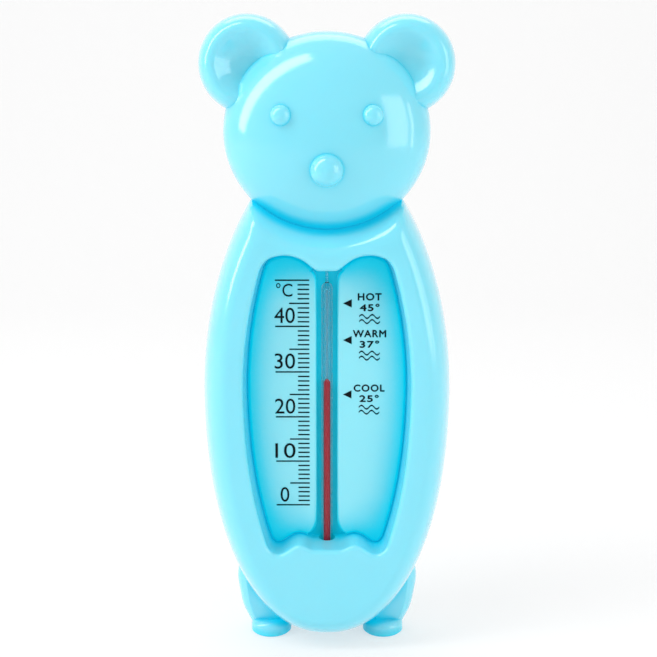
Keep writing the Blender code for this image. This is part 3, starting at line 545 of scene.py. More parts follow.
def head_half(name, forward, depth, wall, sides, steps):
    """One domed half of the head, or its hollow when a wall is given."""
    width, height = HEAD_HALF_WIDTH - wall, HEAD_HALF_HEIGHT - wall
    chamfer = 0.0 if wall else SEAM_CHAMFER
    rings = seam_rings(lambda inset: ellipse(0.0, HEAD_Z, width - inset, height - inset, sides),
                       forward, chamfer)
    for step in range(1, steps):
        angle = math.pi / 2.0 * step / steps
        share = math.cos(angle) ** (2.0 / HEAD_POWER)
        rise = (depth - wall) * math.sin(angle) ** (2.0 / HEAD_POWER)
        rings.append(ring(ellipse(0.0, HEAD_Z, width * share, height * share, sides), forward * rise))
    return loft(name, rings, tip=(0.0, forward * (depth - wall), HEAD_Z))


# %% Ears
EAR_RADIUS = 11.6 * MM
EAR_OUT = HEAD_HALF_WIDTH - 6.0 * MM
EAR_Z = HEAD_Z + HEAD_HALF_HEIGHT - 7.6 * MM
EAR_RIM_RADIUS = EAR_RADIUS - 3.4 * MM
EAR_RIM_DEPTH = 7.0 * MM
EAR_DISH_SINK = 3.2 * MM
EAR_DISH_POWER = 3.0
EAR_BACK_DEPTH = 8.0 * MM
EAR_BACK_FULLNESS = 0.8
EAR_SIDES = 120
EAR_STEPS = 16
EAR_DISH_STEPS = 14
EAR_CORE_SIDES = 22
EAR_CORE_STEPS = 5


def ear_circle(side, radius, sides):
    """A circle round the middle of an ear."""
    return ellipse(side * EAR_OUT, EAR_Z, radius, radius, sides)


def ear_front(name, side, wall, sides, steps, dish_steps):
    """The front of an ear: a rounded rim round a shallow dish, or its hollow when a wall is given."""
    outer = EAR_RADIUS - wall
    rim_depth = EAR_RIM_DEPTH - wall
    chamfer = 0.0 if wall else SEAM_CHAMFER
    rings = seam_rings(lambda inset: ear_circle(side, outer - inset, sides), -1.0, chamfer)
    for step in range(1, steps + 1):
        angle = math.pi / 2.0 * step / steps
        radius = EAR_RIM_RADIUS + (outer - EAR_RIM_RADIUS) * math.cos(angle)
        rings.append(ring(ear_circle(side, radius, sides), -rim_depth * math.sin(angle)))
    for step in range(1, dish_steps):
        share = 1.0 - step / dish_steps
        sunk = EAR_DISH_SINK * (1.0 - share ** EAR_DISH_POWER) ** 2
        radius = EAR_RIM_RADIUS * share
        rings.append(ring(ear_circle(side, radius, sides), -rim_depth + sunk))
    return loft(name, rings, tip=(side * EAR_OUT, -rim_depth + EAR_DISH_SINK, EAR_Z))


def ear_back(name, side, wall, sides, steps):
    """The plain domed back of an ear, or its hollow when a wall is given."""
    outer = EAR_RADIUS - wall
    chamfer = 0.0 if wall else SEAM_CHAMFER
    rings = seam_rings(lambda inset: ear_circle(side, outer - inset, sides), 1.0, chamfer)
    for step in range(1, steps):
        angle = math.pi / 2.0 * step / steps
        radius = outer * math.cos(angle) ** EAR_BACK_FULLNESS
        rise = (EAR_BACK_DEPTH - wall) * math.sin(angle)
        rings.append(ring(ear_circle(side, radius, sides), rise))
    return loft(name, rings, tip=(side * EAR_OUT, EAR_BACK_DEPTH - wall, EAR_Z))


# %% Eyes and nose
EYE_RADIUS = 2.35 * MM
EYE_OUT = 10.5 * MM
EYE_UP = 4.5 * MM
NOSE_RADIUS = 3.85 * MM
NOSE_DOWN = 7.9 * MM
BUTTON_FLATNESS = 0.85
BUTTON_SIDES = 48


def face_depth(out, up):
    """Depth of the face's dome at a place measured from the head's middle."""
    share = math.hypot(out / HEAD_HALF_WIDTH, up / HEAD_HALF_HEIGHT)
    return HEAD_FRONT_DEPTH * (1.0 - share ** HEAD_POWER) ** (1.0 / HEAD_POWER)


def button(name, out, up, radius):
    """An eye or nose: a slightly flattened ball sunk to its middle in the face."""
    mesh_data = bmesh.new()
    bmesh.ops.create_uvsphere(mesh_data, u_segments=BUTTON_SIDES, v_segments=BUTTON_SIDES // 2, radius=radius)
    centre = Vector((out, -face_depth(out, up), HEAD_Z + up))
    for vertex in mesh_data.verts:
        x, y, z = vertex.co
        vertex.co = centre + Vector((x, z * BUTTON_FLATNESS, y))
    return new_object(name, mesh_data)


# %% [markdown]
# ## The window in the belly
#
# The window has bowed sides that follow the body, two rounded lobes at the top like the top of a heart, and
# a wavy sill. Its walls lean in a little, because a mould has to let the part go, and a rounded lip leads
# from the belly into it. The outline is drawn once, then offset for the lip, the skirt behind it and the
# pads.

# %% Sizes of the window
SILL_Z = BODY_WIDEST_Z - 38.1 * MM
LOBE_TOP_Z = BODY_WIDEST_Z + 34.5 * MM
BROW_Z = LOBE_TOP_Z - 3.7 * MM
WINDOW_LOW_Z = SILL_Z + 1.7 * MM
WINDOW_HIGH_Z = LOBE_TOP_Z - 4.3 * MM
RIM_WIDTH_LOW = 10.9 * MM
RIM_WIDTH_HIGH = 9.65 * MM
BROW_HALF_WIDTH = 2.2 * MM
BROW_CORNER = 0.9 * MM
SILL_CORNER = 2.1 * MM
SILL_DIP_DROP = 1.1 * MM
SILL_OUTER_RAMP = 5.1 * MM
SILL_INNER_RAMP = 3.78 * MM
SILL_HUMP_RISE = 1.25 * MM
LOBE_SHIFT = 0.92 * MM
LOBE_SPREAD = 1.57 * MM
LOBE_CORNER = 1.35 * MM
LOBE_END = math.radians(129.0)
WINDOW_FILLET = 1.1 * MM
WINDOW_FILLET_TURN = math.radians(80.0)
WINDOW_DRAFT = math.tan(math.radians(5.0))
SKIRT_WALL = 1.6 * MM
CHANNEL_DEPTH = 2.8 * MM
PLATE_THICKNESS = 1.6 * MM
TUBE_RADIUS = 1.35 * MM
NOTCH_CLEARANCE = 0.7 * MM
SKIRT_BACK_DEPTH = CHANNEL_DEPTH + FIT
WALL_FRONT_DEPTH = BODY_FRONT_DEPTH - WINDOW_FILLET
SKIRT_FOOT_OFFSET = -WINDOW_DRAFT * (WALL_FRONT_DEPTH - SKIRT_BACK_DEPTH)
print("window %.1f mm high, its walls %.1f mm deep" % ((LOBE_TOP_Z - SILL_Z) / MM,
                                                       (WALL_FRONT_DEPTH - SKIRT_BACK_DEPTH) / MM))

# %% Window outline
RAMP_STEPS = (8, 14)
CORNER_STEPS = 9
SIDE_STEPS = 26
LOBE_STEPS = 18
BROW_STEPS = 5


def bezier(start, control, end, steps):
    """Points of a quadratic curve, without its end."""
    points = []
    for i in range(steps):
        t = i / steps
        near, middle, far = (1.0 - t) ** 2, 2.0 * t * (1.0 - t), t * t
        points.append(tuple(near * a + middle * b + far * c for a, b, c in zip(start, control, end)))
    return points


def window_side_x(z):
    """Half width of the window at a height: the body's outline less the rim."""
    upper = z >= BODY_WIDEST_Z
    reach = BODY_UPPER_REACH if upper else BODY_LOWER_REACH
    power = BODY_UPPER_POWER if upper else BODY_LOWER_POWER
    share = (z - WINDOW_LOW_Z) / (WINDOW_HIGH_Z - WINDOW_LOW_Z)
    rim = RIM_WIDTH_LOW + (RIM_WIDTH_HIGH - RIM_WIDTH_LOW) * share
    return BODY_HALF_WIDTH * (1.0 - (abs(z - BODY_WIDEST_Z) / reach) ** power) ** (1.0 / power) - rim


def ramp(x0, z0, x1, z1, steps):
    """A smooth step from one point towards another, without its end."""
    shares = [i / steps for i in range(steps)]
    return [(x0 + (x1 - x0) * s, z0 + (z1 - z0) * (1.0 - math.cos(math.pi * s)) / 2.0) for s in shares]


def sill_and_side():
    """The right half of the wavy sill and the right side."""
    low_x = window_side_x(WINDOW_LOW_Z)
    low_lean = (window_side_x(WINDOW_LOW_Z + MM) - low_x) / MM
    hump_z, dip_z = SILL_Z + SILL_HUMP_RISE, SILL_Z - SILL_DIP_DROP
    corner_x = low_x - low_lean * (WINDOW_LOW_Z - dip_z)
    dip_x = corner_x - SILL_CORNER
    hump_x = dip_x - SILL_OUTER_RAMP
    points = [(0.0, SILL_Z)]
    points += ramp(hump_x - SILL_INNER_RAMP, SILL_Z, hump_x, hump_z, RAMP_STEPS[0])
    points += ramp(hump_x, hump_z, dip_x, dip_z, RAMP_STEPS[1])
    points += bezier((dip_x, dip_z), (corner_x, dip_z), (low_x, WINDOW_LOW_Z), CORNER_STEPS)
    climb = (WINDOW_HIGH_Z - WINDOW_LOW_Z) / SIDE_STEPS
    heights = [WINDOW_LOW_Z + climb * i for i in range(SIDE_STEPS)]
    return points + [(window_side_x(z), z) for z in heights]


def lobe_and_brow():
    """The right lobe of the heart and the right half of the brow between the lobes."""
    high_x = window_side_x(WINDOW_HIGH_Z)
    high_lean = (high_x - window_side_x(WINDOW_HIGH_Z - MM)) / MM
    radius = (high_x - BROW_HALF_WIDTH) / 2.0 + LOBE_SPREAD
    middle_x, middle_z = (high_x + BROW_HALF_WIDTH) / 2.0 + LOBE_SHIFT, LOBE_TOP_Z - radius
    side_end = high_x + high_lean * (LOBE_TOP_Z - WINDOW_HIGH_Z)
    lobe_start = math.acos((side_end - LOBE_CORNER - middle_x) / radius)
    lobe = []
    for i in range(LOBE_STEPS + 1):
        angle = lobe_start + (LOBE_END - lobe_start) * i / LOBE_STEPS
        lobe.append((middle_x + radius * math.cos(angle), middle_z + radius * math.sin(angle)))
    fall = math.tan(math.pi / 2.0 - lobe_start)
    # The side's line and the lobe's line at its start meet at the corner that the curve rounds off
    rise = (lobe[0][1] - WINDOW_HIGH_Z + fall * (lobe[0][0] - high_x)) / (1.0 + fall * high_lean)
    points = bezier((high_x, WINDOW_HIGH_Z), (high_x + high_lean * rise, WINDOW_HIGH_Z + rise), lobe[0],
                    CORNER_STEPS)
    end_x, end_z = lobe[-1]
    slope = -math.cos(LOBE_END) / math.sin(LOBE_END)
    corner_x = end_x - (end_z - BROW_Z) / slope
    bend = (corner_x + BROW_CORNER, BROW_Z + BROW_CORNER * slope)
    brow = bezier(bend, (corner_x, BROW_Z), (corner_x - BROW_CORNER, BROW_Z), BROW_STEPS)
    return points + lobe + brow + [(corner_x - BROW_CORNER, BROW_Z)]


def window_outline():
    """The window's edge, anticlockwise seen from the front."""
    half = sill_and_side() + lobe_and_brow()
    return half + [(0.0, BROW_Z)] + [(-x, z) for x, z in reversed(half[1:])]


def offset_outline(points, distance):
    """Move each point of an anticlockwise outline outwards, square to its two edges."""
    moved = []
    for i, (x, z) in enumerate(points):
        x0, z0 = points[i - 1]
        x1, z1 = points[(i + 1) % len(points)]
        before = Vector((z - z0, x0 - x)).normalized()
        after = Vector((z1 - z, x - x1)).normalized()
        out = (before + after) / (1.0 + before.dot(after))
        moved.append((x + out.x * distance, z + out.y * distance))
    return moved


window = window_outline()
print("window outline:", len(window), "points")

# %% Cutters and walls of the window
FILLET_STEPS = 9
WALL_STEPS = 6
NOTCH_SIDES = 48
CUTTER_PROUD = WINDOW_FILLET / 8.0


def window_cutter():
    """The window's opening: drafted walls with a rounded lip at the body's face."""
    inside_depth = SKIRT_BACK_DEPTH - CUT_MARGIN / 3.0
    rings = []
    for step in range(WALL_STEPS + 1):
        depth = inside_depth + (WALL_FRONT_DEPTH - inside_depth) * step / WALL_STEPS
        rings.append(ring(offset_outline(window, -WINDOW_DRAFT * (WALL_FRONT_DEPTH - depth)), -depth))
    for step in range(1, FILLET_STEPS + 1):
        angle = WINDOW_FILLET_TURN * step / FILLET_STEPS
        spread = WINDOW_FILLET * (1.0 - math.cos(angle))
        depth = WALL_FRONT_DEPTH + WINDOW_FILLET * math.sin(angle)
        rings.append(ring(offset_outline(window, spread), -depth))
    rings.append(ring(offset_outline(window, 2.0 * spread), -BODY_FRONT_DEPTH - CUTTER_PROUD))
    return loft("window_cutter", rings)


def skirt():
    """The wall round the window that runs back to the scale plate."""
    front_depth = BODY_FRONT_DEPTH - WALL / 2.0
    back = ring(offset_outline(window, SKIRT_FOOT_OFFSET + SKIRT_WALL), -SKIRT_BACK_DEPTH)
    return loft("skirt", [back, ring(offset_outline(window, SKIRT_WALL), -front_depth)])


def tube_notch():
    """The round hole in the window's sill that the tube comes up through."""
    radius, low = TUBE_RADIUS + NOTCH_CLEARANCE, SILL_Z - CUT_MARGIN
    profile = [(0.0, low), (radius, low), (radius, BODY_WIDEST_Z), (0.0, BODY_WIDEST_Z)]
    return turned("tube_notch", profile, -TUBE_DEPTH, NOTCH_SIDES)


def half_space(name, forward):
    """Everything behind the rim of a shell half, with half of the seam's gap."""
    start, end = sorted((forward * SEAM_HALF_GAP, -forward * FAR))
    return block(name, (-FAR, start, -FAR), (FAR, end, FAR))


# %% [markdown]
# ## The front shell
#
# Body, head, ears, eyes and nose are one moulding. The outer forms are joined first and the hollow is taken
# out of them, then the skirt of the window goes in and the window and the tube's hole are cut through.

# %% Front shell
SIDES_BOTH = (-1.0, 1.0)


def build_front_shell():
    """The front half of the bear."""
    outer = body_half("front", -1.0, BODY_FRONT_DEPTH)
    added = [head_half("head", -1.0, HEAD_FRONT_DEPTH, 0.0, HEAD_SIDES, HEAD_STEPS)]
    added += [ear_front("ear", side, 0.0, EAR_SIDES, EAR_STEPS, EAR_DISH_STEPS) for side in SIDES_BOTH]
    added += [button("eye", side * EYE_OUT, EYE_UP, EYE_RADIUS) for side in SIDES_BOTH]
    added += [button("nose", 0.0, -NOSE_DOWN, NOSE_RADIUS)]
    combine(outer, added, "UNION")
    core = body_core("core", -1.0, BODY_FRONT_DEPTH)
    hollows = [head_half("head_core", -1.0, HEAD_FRONT_DEPTH, WALL, HEAD_CORE_SIDES, CORE_STEPS)]
    hollows += [ear_front("ear_core", side, WALL, EAR_CORE_SIDES, EAR_CORE_STEPS, EAR_CORE_STEPS)
                for side in SIDES_BOTH]
    combine(core, hollows, "UNION")
    combine(outer, [core], "DIFFERENCE")
    combine(outer, [skirt()], "UNION")
    combine(outer, [window_cutter(), tube_notch(), half_space("behind", -1.0)], "DIFFERENCE")
    return dress(outer, "front_shell_skin", shell_plastic, "front_shell")


build_front_shell()

# %% [markdown]
# ## The legs and feet
#
# The legs are plump and belong to the back half. Their widths are given at a few heights, and a smooth
# curve runs between those stations, because straight steps would show as rings round the leg.

# %% Sizes of the legs and feet
LEG_STATIONS = (
    # height, distance of the centre from the middle, half width
    (1.3 * MM, 14.7 * MM, 4.45 * MM),
    (5.9 * MM, 16.0 * MM, 5.5 * MM),
    (10.3 * MM, 16.6 * MM, 5.9 * MM),
    (14.6 * MM, 16.8 * MM, 6.2 * MM),
    (18.5 * MM, 16.3 * MM, 5.9 * MM),
    (21.5 * MM, 15.6 * MM, 4.6 * MM),
    (23.2 * MM, 15.2 * MM, 2.4 * MM),
)
LEG_HALF_DEPTH = 4.8 * MM
LEG_ROUNDNESS = 1.1
LEG_FRONT_CUT = 1.0 * MM
FOOT_OUT = 14.35 * MM
FOOT_HALF_WIDTH = 5.1 * MM
FOOT_TOE_DEPTH = 3.4 * MM
FOOT_HEEL_DEPTH = 12.0 * MM
FOOT_HEIGHT = 3.6 * MM
FOOT_EDGE_ROUND = 1.6 * MM
SOLE_BEVEL = 0.5 * MM

# %% Legs and feet
LEG_SIDES = 64
LEG_STEPS = 6
FOOT_STEPS = 10


def smooth_stations(stations, steps):
    """More stations between the given ones, on a curve that passes through each of them."""
    found = []
    last = len(stations) - 1
    for i in range(last):
        around = [stations[max(i - 1, 0)], stations[i], stations[i + 1], stations[min(i + 2, last)]]
        for step in range(steps):
            t = step / steps
            weights = (-t + 2 * t * t - t ** 3, 2 - 5 * t * t + 3 * t ** 3,
                       t + 4 * t * t - 3 * t ** 3, t ** 3 - t * t)
            found.append(tuple(sum(w * s[k] for w, s in zip(weights, around)) / 2.0 for k in range(3)))
    return found + [stations[last]]


def leg(side):
    """A plump leg on the side of the back half, flat where it faces the front half."""
    centre_y = FIT / 2.0 + LEG_HALF_DEPTH - LEG_FRONT_CUT
    rings = []
    for height, out, half_width in smooth_stations(LEG_STATIONS, LEG_STEPS):
        half_depth = min(LEG_HALF_DEPTH, half_width * LEG_ROUNDNESS)
        points = []
        for i in range(LEG_SIDES):
            turn = 2.0 * math.pi * i / LEG_SIDES
            x, y = side * out + half_width * math.cos(turn), centre_y + half_depth * math.sin(turn)
            points.append((x, y, height))
        rings.append(points)
    return loft("leg", rings)


def foot(side):
    """A foot with a round toe and heel, rounded above and lightly bevelled round its flat sole."""
    def plan(inset, height):
        radius = FOOT_HALF_WIDTH - inset
        front, back = -FOOT_TOE_DEPTH + FOOT_HALF_WIDTH, FOOT_HEEL_DEPTH - FOOT_HALF_WIDTH
        points = []
        for i in range(LEG_SIDES):
            turn = 2.0 * math.pi * (i + 0.5) / LEG_SIDES
            middle = back if math.sin(turn) > 0.0 else front
            points.append((side * FOOT_OUT + radius * math.cos(turn), middle + radius * math.sin(turn),
                           height))
        return points

    rings = [plan(SOLE_BEVEL, 0.0), plan(0.0, SOLE_BEVEL)]
    for step in range(FOOT_STEPS + 1):
        angle = math.pi / 2.0 * step / FOOT_STEPS
        inset = FOOT_EDGE_ROUND * (1.0 - math.cos(angle))
        rings.append(plan(inset, FOOT_HEIGHT - FOOT_EDGE_ROUND * (1.0 - math.sin(angle))))
    return loft("foot", rings)


# %% [markdown]
# ## The back shell
#
# The back half carries the legs. Inside it are a locating lip for the front half, posts behind the scale
# plate and a shelf under the bulb. Three slots low in its back let bath water reach the bulb.

# %% Inside of the back shell
LIP_WALL = 1.2 * MM
LIP_RISE = 1.5 * MM
POST_RADIUS = 2.0 * MM
POST_SIDES = 32
POSTS_FROM_WIDEST = (-17.0 * MM, 19.0 * MM)
SHELF_THICKNESS = 1.8 * MM
SHELF_HALF_WIDTH = 4.5 * MM
SHELF_TOP_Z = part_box("bulb_cushion")[0].z - FIT
BULB_RADIUS = tube_high.x
INLET_PITCH = 4.0 * MM
INLET_HALF_LENGTH = 4.5 * MM
INLET_HALF_HEIGHT = 0.8 * MM
INLET_MIDDLE_Z = 16.9 * MM
INLET_SIDES = 24


def lip():
    """A tongue inside the back half's rim that locates the front half."""
    inner, root = WALL + FIT, WALL / 2.0
    band = loft("lip", [ring(body_outline(root, CORE_SIDES), FIT / 2.0),
                        ring(body_outline(root, CORE_SIDES), 2.0 * LIP_RISE)])
    tongue = loft("tongue", [ring(body_outline(inner, CORE_SIDES), -LIP_RISE),
                             ring(body_outline(inner, CORE_SIDES), LIP_RISE)])
    core = loft("lip_core", [ring(body_outline(inner + LIP_WALL, CORE_SIDES), -2.0 * LIP_RISE),
                             ring(body_outline(inner + LIP_WALL, CORE_SIDES), 3.0 * LIP_RISE)])
    combine(band, [tongue], "UNION")
    return combine(band, [core], "DIFFERENCE")


def post(side, height):
    """A post on the inside of the back half that backs the scale plate."""
    middle_x = side * (window_side_x(height) + SKIRT_FOOT_OFFSET)
    outline = ellipse(middle_x, height, POST_RADIUS, POST_RADIUS, POST_SIDES)
    plate_back = CHANNEL_DEPTH - PLATE_THICKNESS
    return loft("post", [ring(outline, -plate_back + FIT), ring(outline, BODY_BACK_DEPTH - WALL / 2.0)])


def shelf():
    """A rib of the back half that carries the cushion under the bulb."""
    return block("shelf", (-SHELF_HALF_WIDTH, -TUBE_DEPTH - BULB_RADIUS, SHELF_TOP_Z - SHELF_THICKNESS),
                 (SHELF_HALF_WIDTH, BODY_BACK_DEPTH - WALL / 2.0, SHELF_TOP_Z))


def inlet(height):
    """A slot with rounded ends that lets bath water reach the bulb."""
    outline = []
    for i in range(INLET_SIDES):
        turn = 2.0 * math.pi * (i + 0.5) / INLET_SIDES
        middle = math.copysign(INLET_HALF_LENGTH - INLET_HALF_HEIGHT, math.cos(turn))
        outline.append((middle + INLET_HALF_HEIGHT * math.cos(turn),
                        height + INLET_HALF_HEIGHT * math.sin(turn)))
    return loft("inlet", [ring(outline, BODY_BACK_DEPTH - 2.0 * WALL), ring(outline, BODY_BACK_DEPTH + WALL)])


# %% Back shell
def build_back_shell():
    """The back half of the bear with its legs."""
    outer = body_half("back", 1.0, BODY_BACK_DEPTH)
    added = [head_half("head", 1.0, HEAD_BACK_DEPTH, 0.0, HEAD_SIDES, HEAD_STEPS)]
    added += [ear_back("ear", side, 0.0, EAR_SIDES, EAR_STEPS) for side in SIDES_BOTH]
    added += [leg(side) for side in SIDES_BOTH]
    combine(outer, added, "UNION")
    core = body_core("core", 1.0, BODY_BACK_DEPTH)
    hollows = [head_half("head_core", 1.0, HEAD_BACK_DEPTH, WALL, HEAD_CORE_SIDES, CORE_STEPS)]
    hollows += [ear_back("ear_core", side, WALL, EAR_CORE_SIDES, EAR_CORE_STEPS) for side in SIDES_BOTH]
    combine(core, hollows, "UNION")
    combine(outer, [core, half_space("before", 1.0)], "DIFFERENCE")
    fittings = [foot(side) for side in SIDES_BOTH] + [lip(), shelf()]
    fittings += [post(side, BODY_WIDEST_Z + level) for side in SIDES_BOTH for level in POSTS_FROM_WIDEST]
    combine(outer, fittings, "UNION")
    combine(outer, [inlet(INLET_MIDDLE_Z + i * INLET_PITCH) for i in (-1, 0, 1)], "DIFFERENCE")
    return dress(outer, "back_shell_skin", shell_plastic, "back_shell")


build_back_shell()

# %% [markdown]
# ## The scale plate
#
# The plate behind the window has two raised pads with rounded edges, one for the scale and one for the
# warmth marks, and a channel between them for the tube. The channel widens in a curve at its lower end.

# %% Sizes of the scale plate
CHANNEL_HALF_WIDTH = 2.45 * MM
CHANNEL_FLARE_WIDTH = 2.3 * MM
CHANNEL_FLARE_HEIGHT = 4.0 * MM
CHANNEL_FLARE_Z = SILL_Z + 6.1 * MM
PAD_DEPTH = 5.9 * MM
PAD_EDGE_ROUND = 0.8 * MM
PAD_GAP = 0.12 * MM
CHANNEL_EDGE_ROUND = 0.9 * MM
PAD_WALL = 1.6 * MM
PLATE_FLANGE = 1.8 * MM
PAD_OFFSET = SKIRT_FOOT_OFFSET - PAD_GAP
print("pads %.1f mm in front of the parting plane" % (PAD_DEPTH / MM))

# %% Scale plate
PAD_STEPS = 8
PAD_FLAT_RIM = 0.5 * MM
PAD_ROOT_DEPTH = CHANNEL_DEPTH - PLATE_THICKNESS / 2.0
CHANNEL_CUT_DEPTH = CHANNEL_DEPTH - PLATE_THICKNESS / 4.0
FLARE_STEPS = 14
POCKET_STEPS = 6
TOP_FLARE_WIDTH = 1.2 * MM
TOP_FLARE_HEIGHT = 2.4 * MM
TOP_FLARE_Z = BROW_Z - 3.3 * MM


def channel_outline(grow):
    """Plan of the channel between the pads, flared at both ends, anticlockwise seen from the front."""
    low, high = SILL_Z - PLATE_FLANGE - CUT_MARGIN, LOBE_TOP_Z + PLATE_FLANGE
    edge = CHANNEL_HALF_WIDTH + grow
    flare_end_z = CHANNEL_FLARE_Z - CHANNEL_FLARE_HEIGHT
    right = [(edge + CHANNEL_FLARE_WIDTH, low)]
    for i in range(FLARE_STEPS + 1):
        angle = math.pi / 2.0 * (1.0 - i / FLARE_STEPS)
        right.append((edge + CHANNEL_FLARE_WIDTH * (1.0 - math.cos(angle)),
                      flare_end_z + CHANNEL_FLARE_HEIGHT * (1.0 - math.sin(angle))))
    for i in range(FLARE_STEPS + 1):
        angle = math.pi / 2.0 * i / FLARE_STEPS
        right.append((edge + TOP_FLARE_WIDTH * (1.0 - math.cos(angle)),
                      TOP_FLARE_Z + TOP_FLARE_HEIGHT * math.sin(angle)))
    right.append((edge + TOP_FLARE_WIDTH, high))
    return right + [(-x, z) for x, z in reversed(right)]


def pads():
    """The two raised pads, rounded along their front edges and parted by the tube's channel."""
    rings = [ring(offset_outline(window, PAD_OFFSET), -PAD_ROOT_DEPTH)]
    slot_rings = [ring(channel_outline(0.0), -CHANNEL_CUT_DEPTH)]
    for step in range(PAD_STEPS + 1):
        angle = math.pi / 2.0 * step / PAD_STEPS
        inset, sunk = 1.0 - math.cos(angle), 1.0 - math.sin(angle)
        rings.append(ring(offset_outline(window, PAD_OFFSET - PAD_EDGE_ROUND * inset),
                          -PAD_DEPTH + PAD_EDGE_ROUND * sunk))
        if step < PAD_STEPS:
            slot_rings.append(ring(channel_outline(CHANNEL_EDGE_ROUND * inset),
                                   -PAD_DEPTH + CHANNEL_EDGE_ROUND * sunk))
    rings.append(ring(offset_outline(window, PAD_OFFSET - PAD_EDGE_ROUND - PAD_FLAT_RIM), -PAD_DEPTH))
    slot_rings.append(ring(channel_outline(CHANNEL_EDGE_ROUND), -PAD_DEPTH - CHANNEL_EDGE_ROUND))
    return combine(loft("pads", rings), [loft("channel", slot_rings)], "DIFFERENCE")


def pocket(side):
    """The hollow behind a pad, so that the plate keeps an even wall."""
    low, high = CHANNEL_FLARE_Z + PAD_WALL, BROW_Z - PAD_EDGE_ROUND - 2.0 * PAD_WALL
    near = CHANNEL_HALF_WIDTH + PAD_WALL
    heights = [low + (high - low) * i / POCKET_STEPS for i in range(POCKET_STEPS + 1)]
    outline = [(side * near, low)]
    outline += [(side * (window_side_x(z) + PAD_OFFSET - PAD_WALL), z) for z in heights]
    outline += [(side * near, high)]
    return loft("pocket", [ring(outline, CUT_MARGIN), ring(outline, -PAD_DEPTH + PAD_WALL)])


def build_scale_plate():
    """Plate behind the window: a flange that backs the skirt, and two pads."""
    outline = offset_outline(window, SKIRT_FOOT_OFFSET + PLATE_FLANGE)
    plate = loft("plate", [ring(outline, PLATE_THICKNESS - CHANNEL_DEPTH), ring(outline, -CHANNEL_DEPTH)])
    combine(plate, [pads()], "UNION")
    combine(plate, [pocket(side) for side in SIDES_BOTH], "DIFFERENCE")
    return dress(plate, "scale_plate_skin", plate_plastic, "scale_plate")


build_scale_plate()

# %% [markdown]
# ## The printed scale
#
# The scale is pad-printed ink: a line for each degree, longer at each fifth and tenth, with plain numbers.
# The right pad has pointers with plain words. Print is a very thin layer, so each mark is a flat prism that
# lies a few hundredths of a millimetre proud of the pad.

# %% Lines and pointers
ZERO_Z = SILL_Z + 9.55 * MM
SCALE_TOP = 50
DEGREE = (BROW_Z - 3.05 * MM - ZERO_Z) / SCALE_TOP
MARKS_RIGHT_X = -CHANNEL_HALF_WIDTH - 1.81 * MM
MARK_LENGTHS = {1: 2.77 * MM, 5: 4.81 * MM, 10: 8.2 * MM}
MARK_THICKNESS = 0.33 * MM
POINTER_TEMPERATURES = (45, 37, 25)
POINTER_TIP_X = CHANNEL_HALF_WIDTH + 1.45 * MM
POINTER_LENGTH = 2.05 * MM
POINTER_HALF_HEIGHT = 1.0 * MM
# The ink sinks a little into the pad, so that no gap shows, and stands a hair proud of it
INK_BACK = -PAD_DEPTH + 0.02 * MM
INK_FRONT = -PAD_DEPTH - 0.035 * MM


def add_prism(mesh_data, points):
    """A flat prism of ink on the pads, from an outline of (x, z) points."""
    rear = [mesh_data.verts.new((x, INK_BACK, z)) for x, z in points]
    face = [mesh_data.verts.new((x, INK_FRONT, z)) for x, z in points]
    mesh_data.faces.new(rear)
    mesh_data.faces.new(face)
    for i in range(len(points)):
        j = (i + 1) % len(points)
        mesh_data.faces.new((rear[i], rear[j], face[j], face[i]))


def add_scale_lines(mesh_data):
    """One bar for each degree, longer at each fifth and tenth."""
    for degree in range(SCALE_TOP + 1):
        step = max(size for size in MARK_LENGTHS if degree % size == 0)
        left = MARKS_RIGHT_X - MARK_LENGTHS[step]
        low = ZERO_Z + degree * DEGREE - MARK_THICKNESS / 2.0
        high = low + MARK_THICKNESS
        add_prism(mesh_data, [(left, low), (MARKS_RIGHT_X, low), (MARKS_RIGHT_X, high), (left, high)])


def add_pointer(mesh_data, temperature):
    """A small triangle that points at the tube."""
    z = ZERO_Z + temperature * DEGREE
    base = POINTER_TIP_X + POINTER_LENGTH
    add_prism(mesh_data, [(POINTER_TIP_X, z), (base, z - POINTER_HALF_HEIGHT),
                          (base, z + POINTER_HALF_HEIGHT)])


# %% Lettering
# In the font's own units, in which a capital is about 0.7 high
LETTER_WELD = 0.0005


def add_text(mesh_data, words, left, low, width, height, weight=0.0, spacing=1.0):
    """Plain lettering that fills a width and a height on the pads. A weight makes its strokes bolder."""
    curve = bpy.data.curves.new("lettering", "FONT")
    curve.body = words
    curve.resolution_u = 4
    curve.space_character = spacing
    holder = bpy.data.objects.new("lettering", curve)
    bpy.context.scene.collection.objects.link(holder)
    flat = finished_mesh(holder)
    bpy.data.objects.remove(holder)
    letters = bmesh.new()
    letters.from_mesh(flat)
    bmesh.ops.remove_doubles(letters, verts=letters.verts, dist=LETTER_WELD)
    xs = [vertex.co.x for vertex in letters.verts]
    ys = [vertex.co.y for vertex in letters.verts]
    wide, tall = width / (max(xs) - min(xs)), height / (max(ys) - min(ys))
    for vertex in letters.verts:
        x, y = (vertex.co.x - min(xs)) * wide, (vertex.co.y - min(ys)) * tall
        vertex.co = (left + x, INK_FRONT, low + y)
    raised = bmesh.ops.extrude_face_region(letters, geom=letters.faces[:])
    for part in raised["geom"]:
        if isinstance(part, bmesh.types.BMVert):
            part.co.y = INK_BACK
    thick = new_object("lettering", letters)
    if weight:
        copies = []
        for x, z in ((-weight, 0.0), (weight, 0.0), (0.0, -weight), (0.0, weight)):
            copy = bpy.data.objects.new("bolder", thick.data.copy())
            copy.data.transform(Matrix.Translation((x, 0.0, z)))
            bpy.context.scene.collection.objects.link(copy)
            copies.append(copy)
        combine(thick, copies, "UNION")
    mesh_data.from_mesh(thick.data)
    bpy.data.objects.remove(thick)


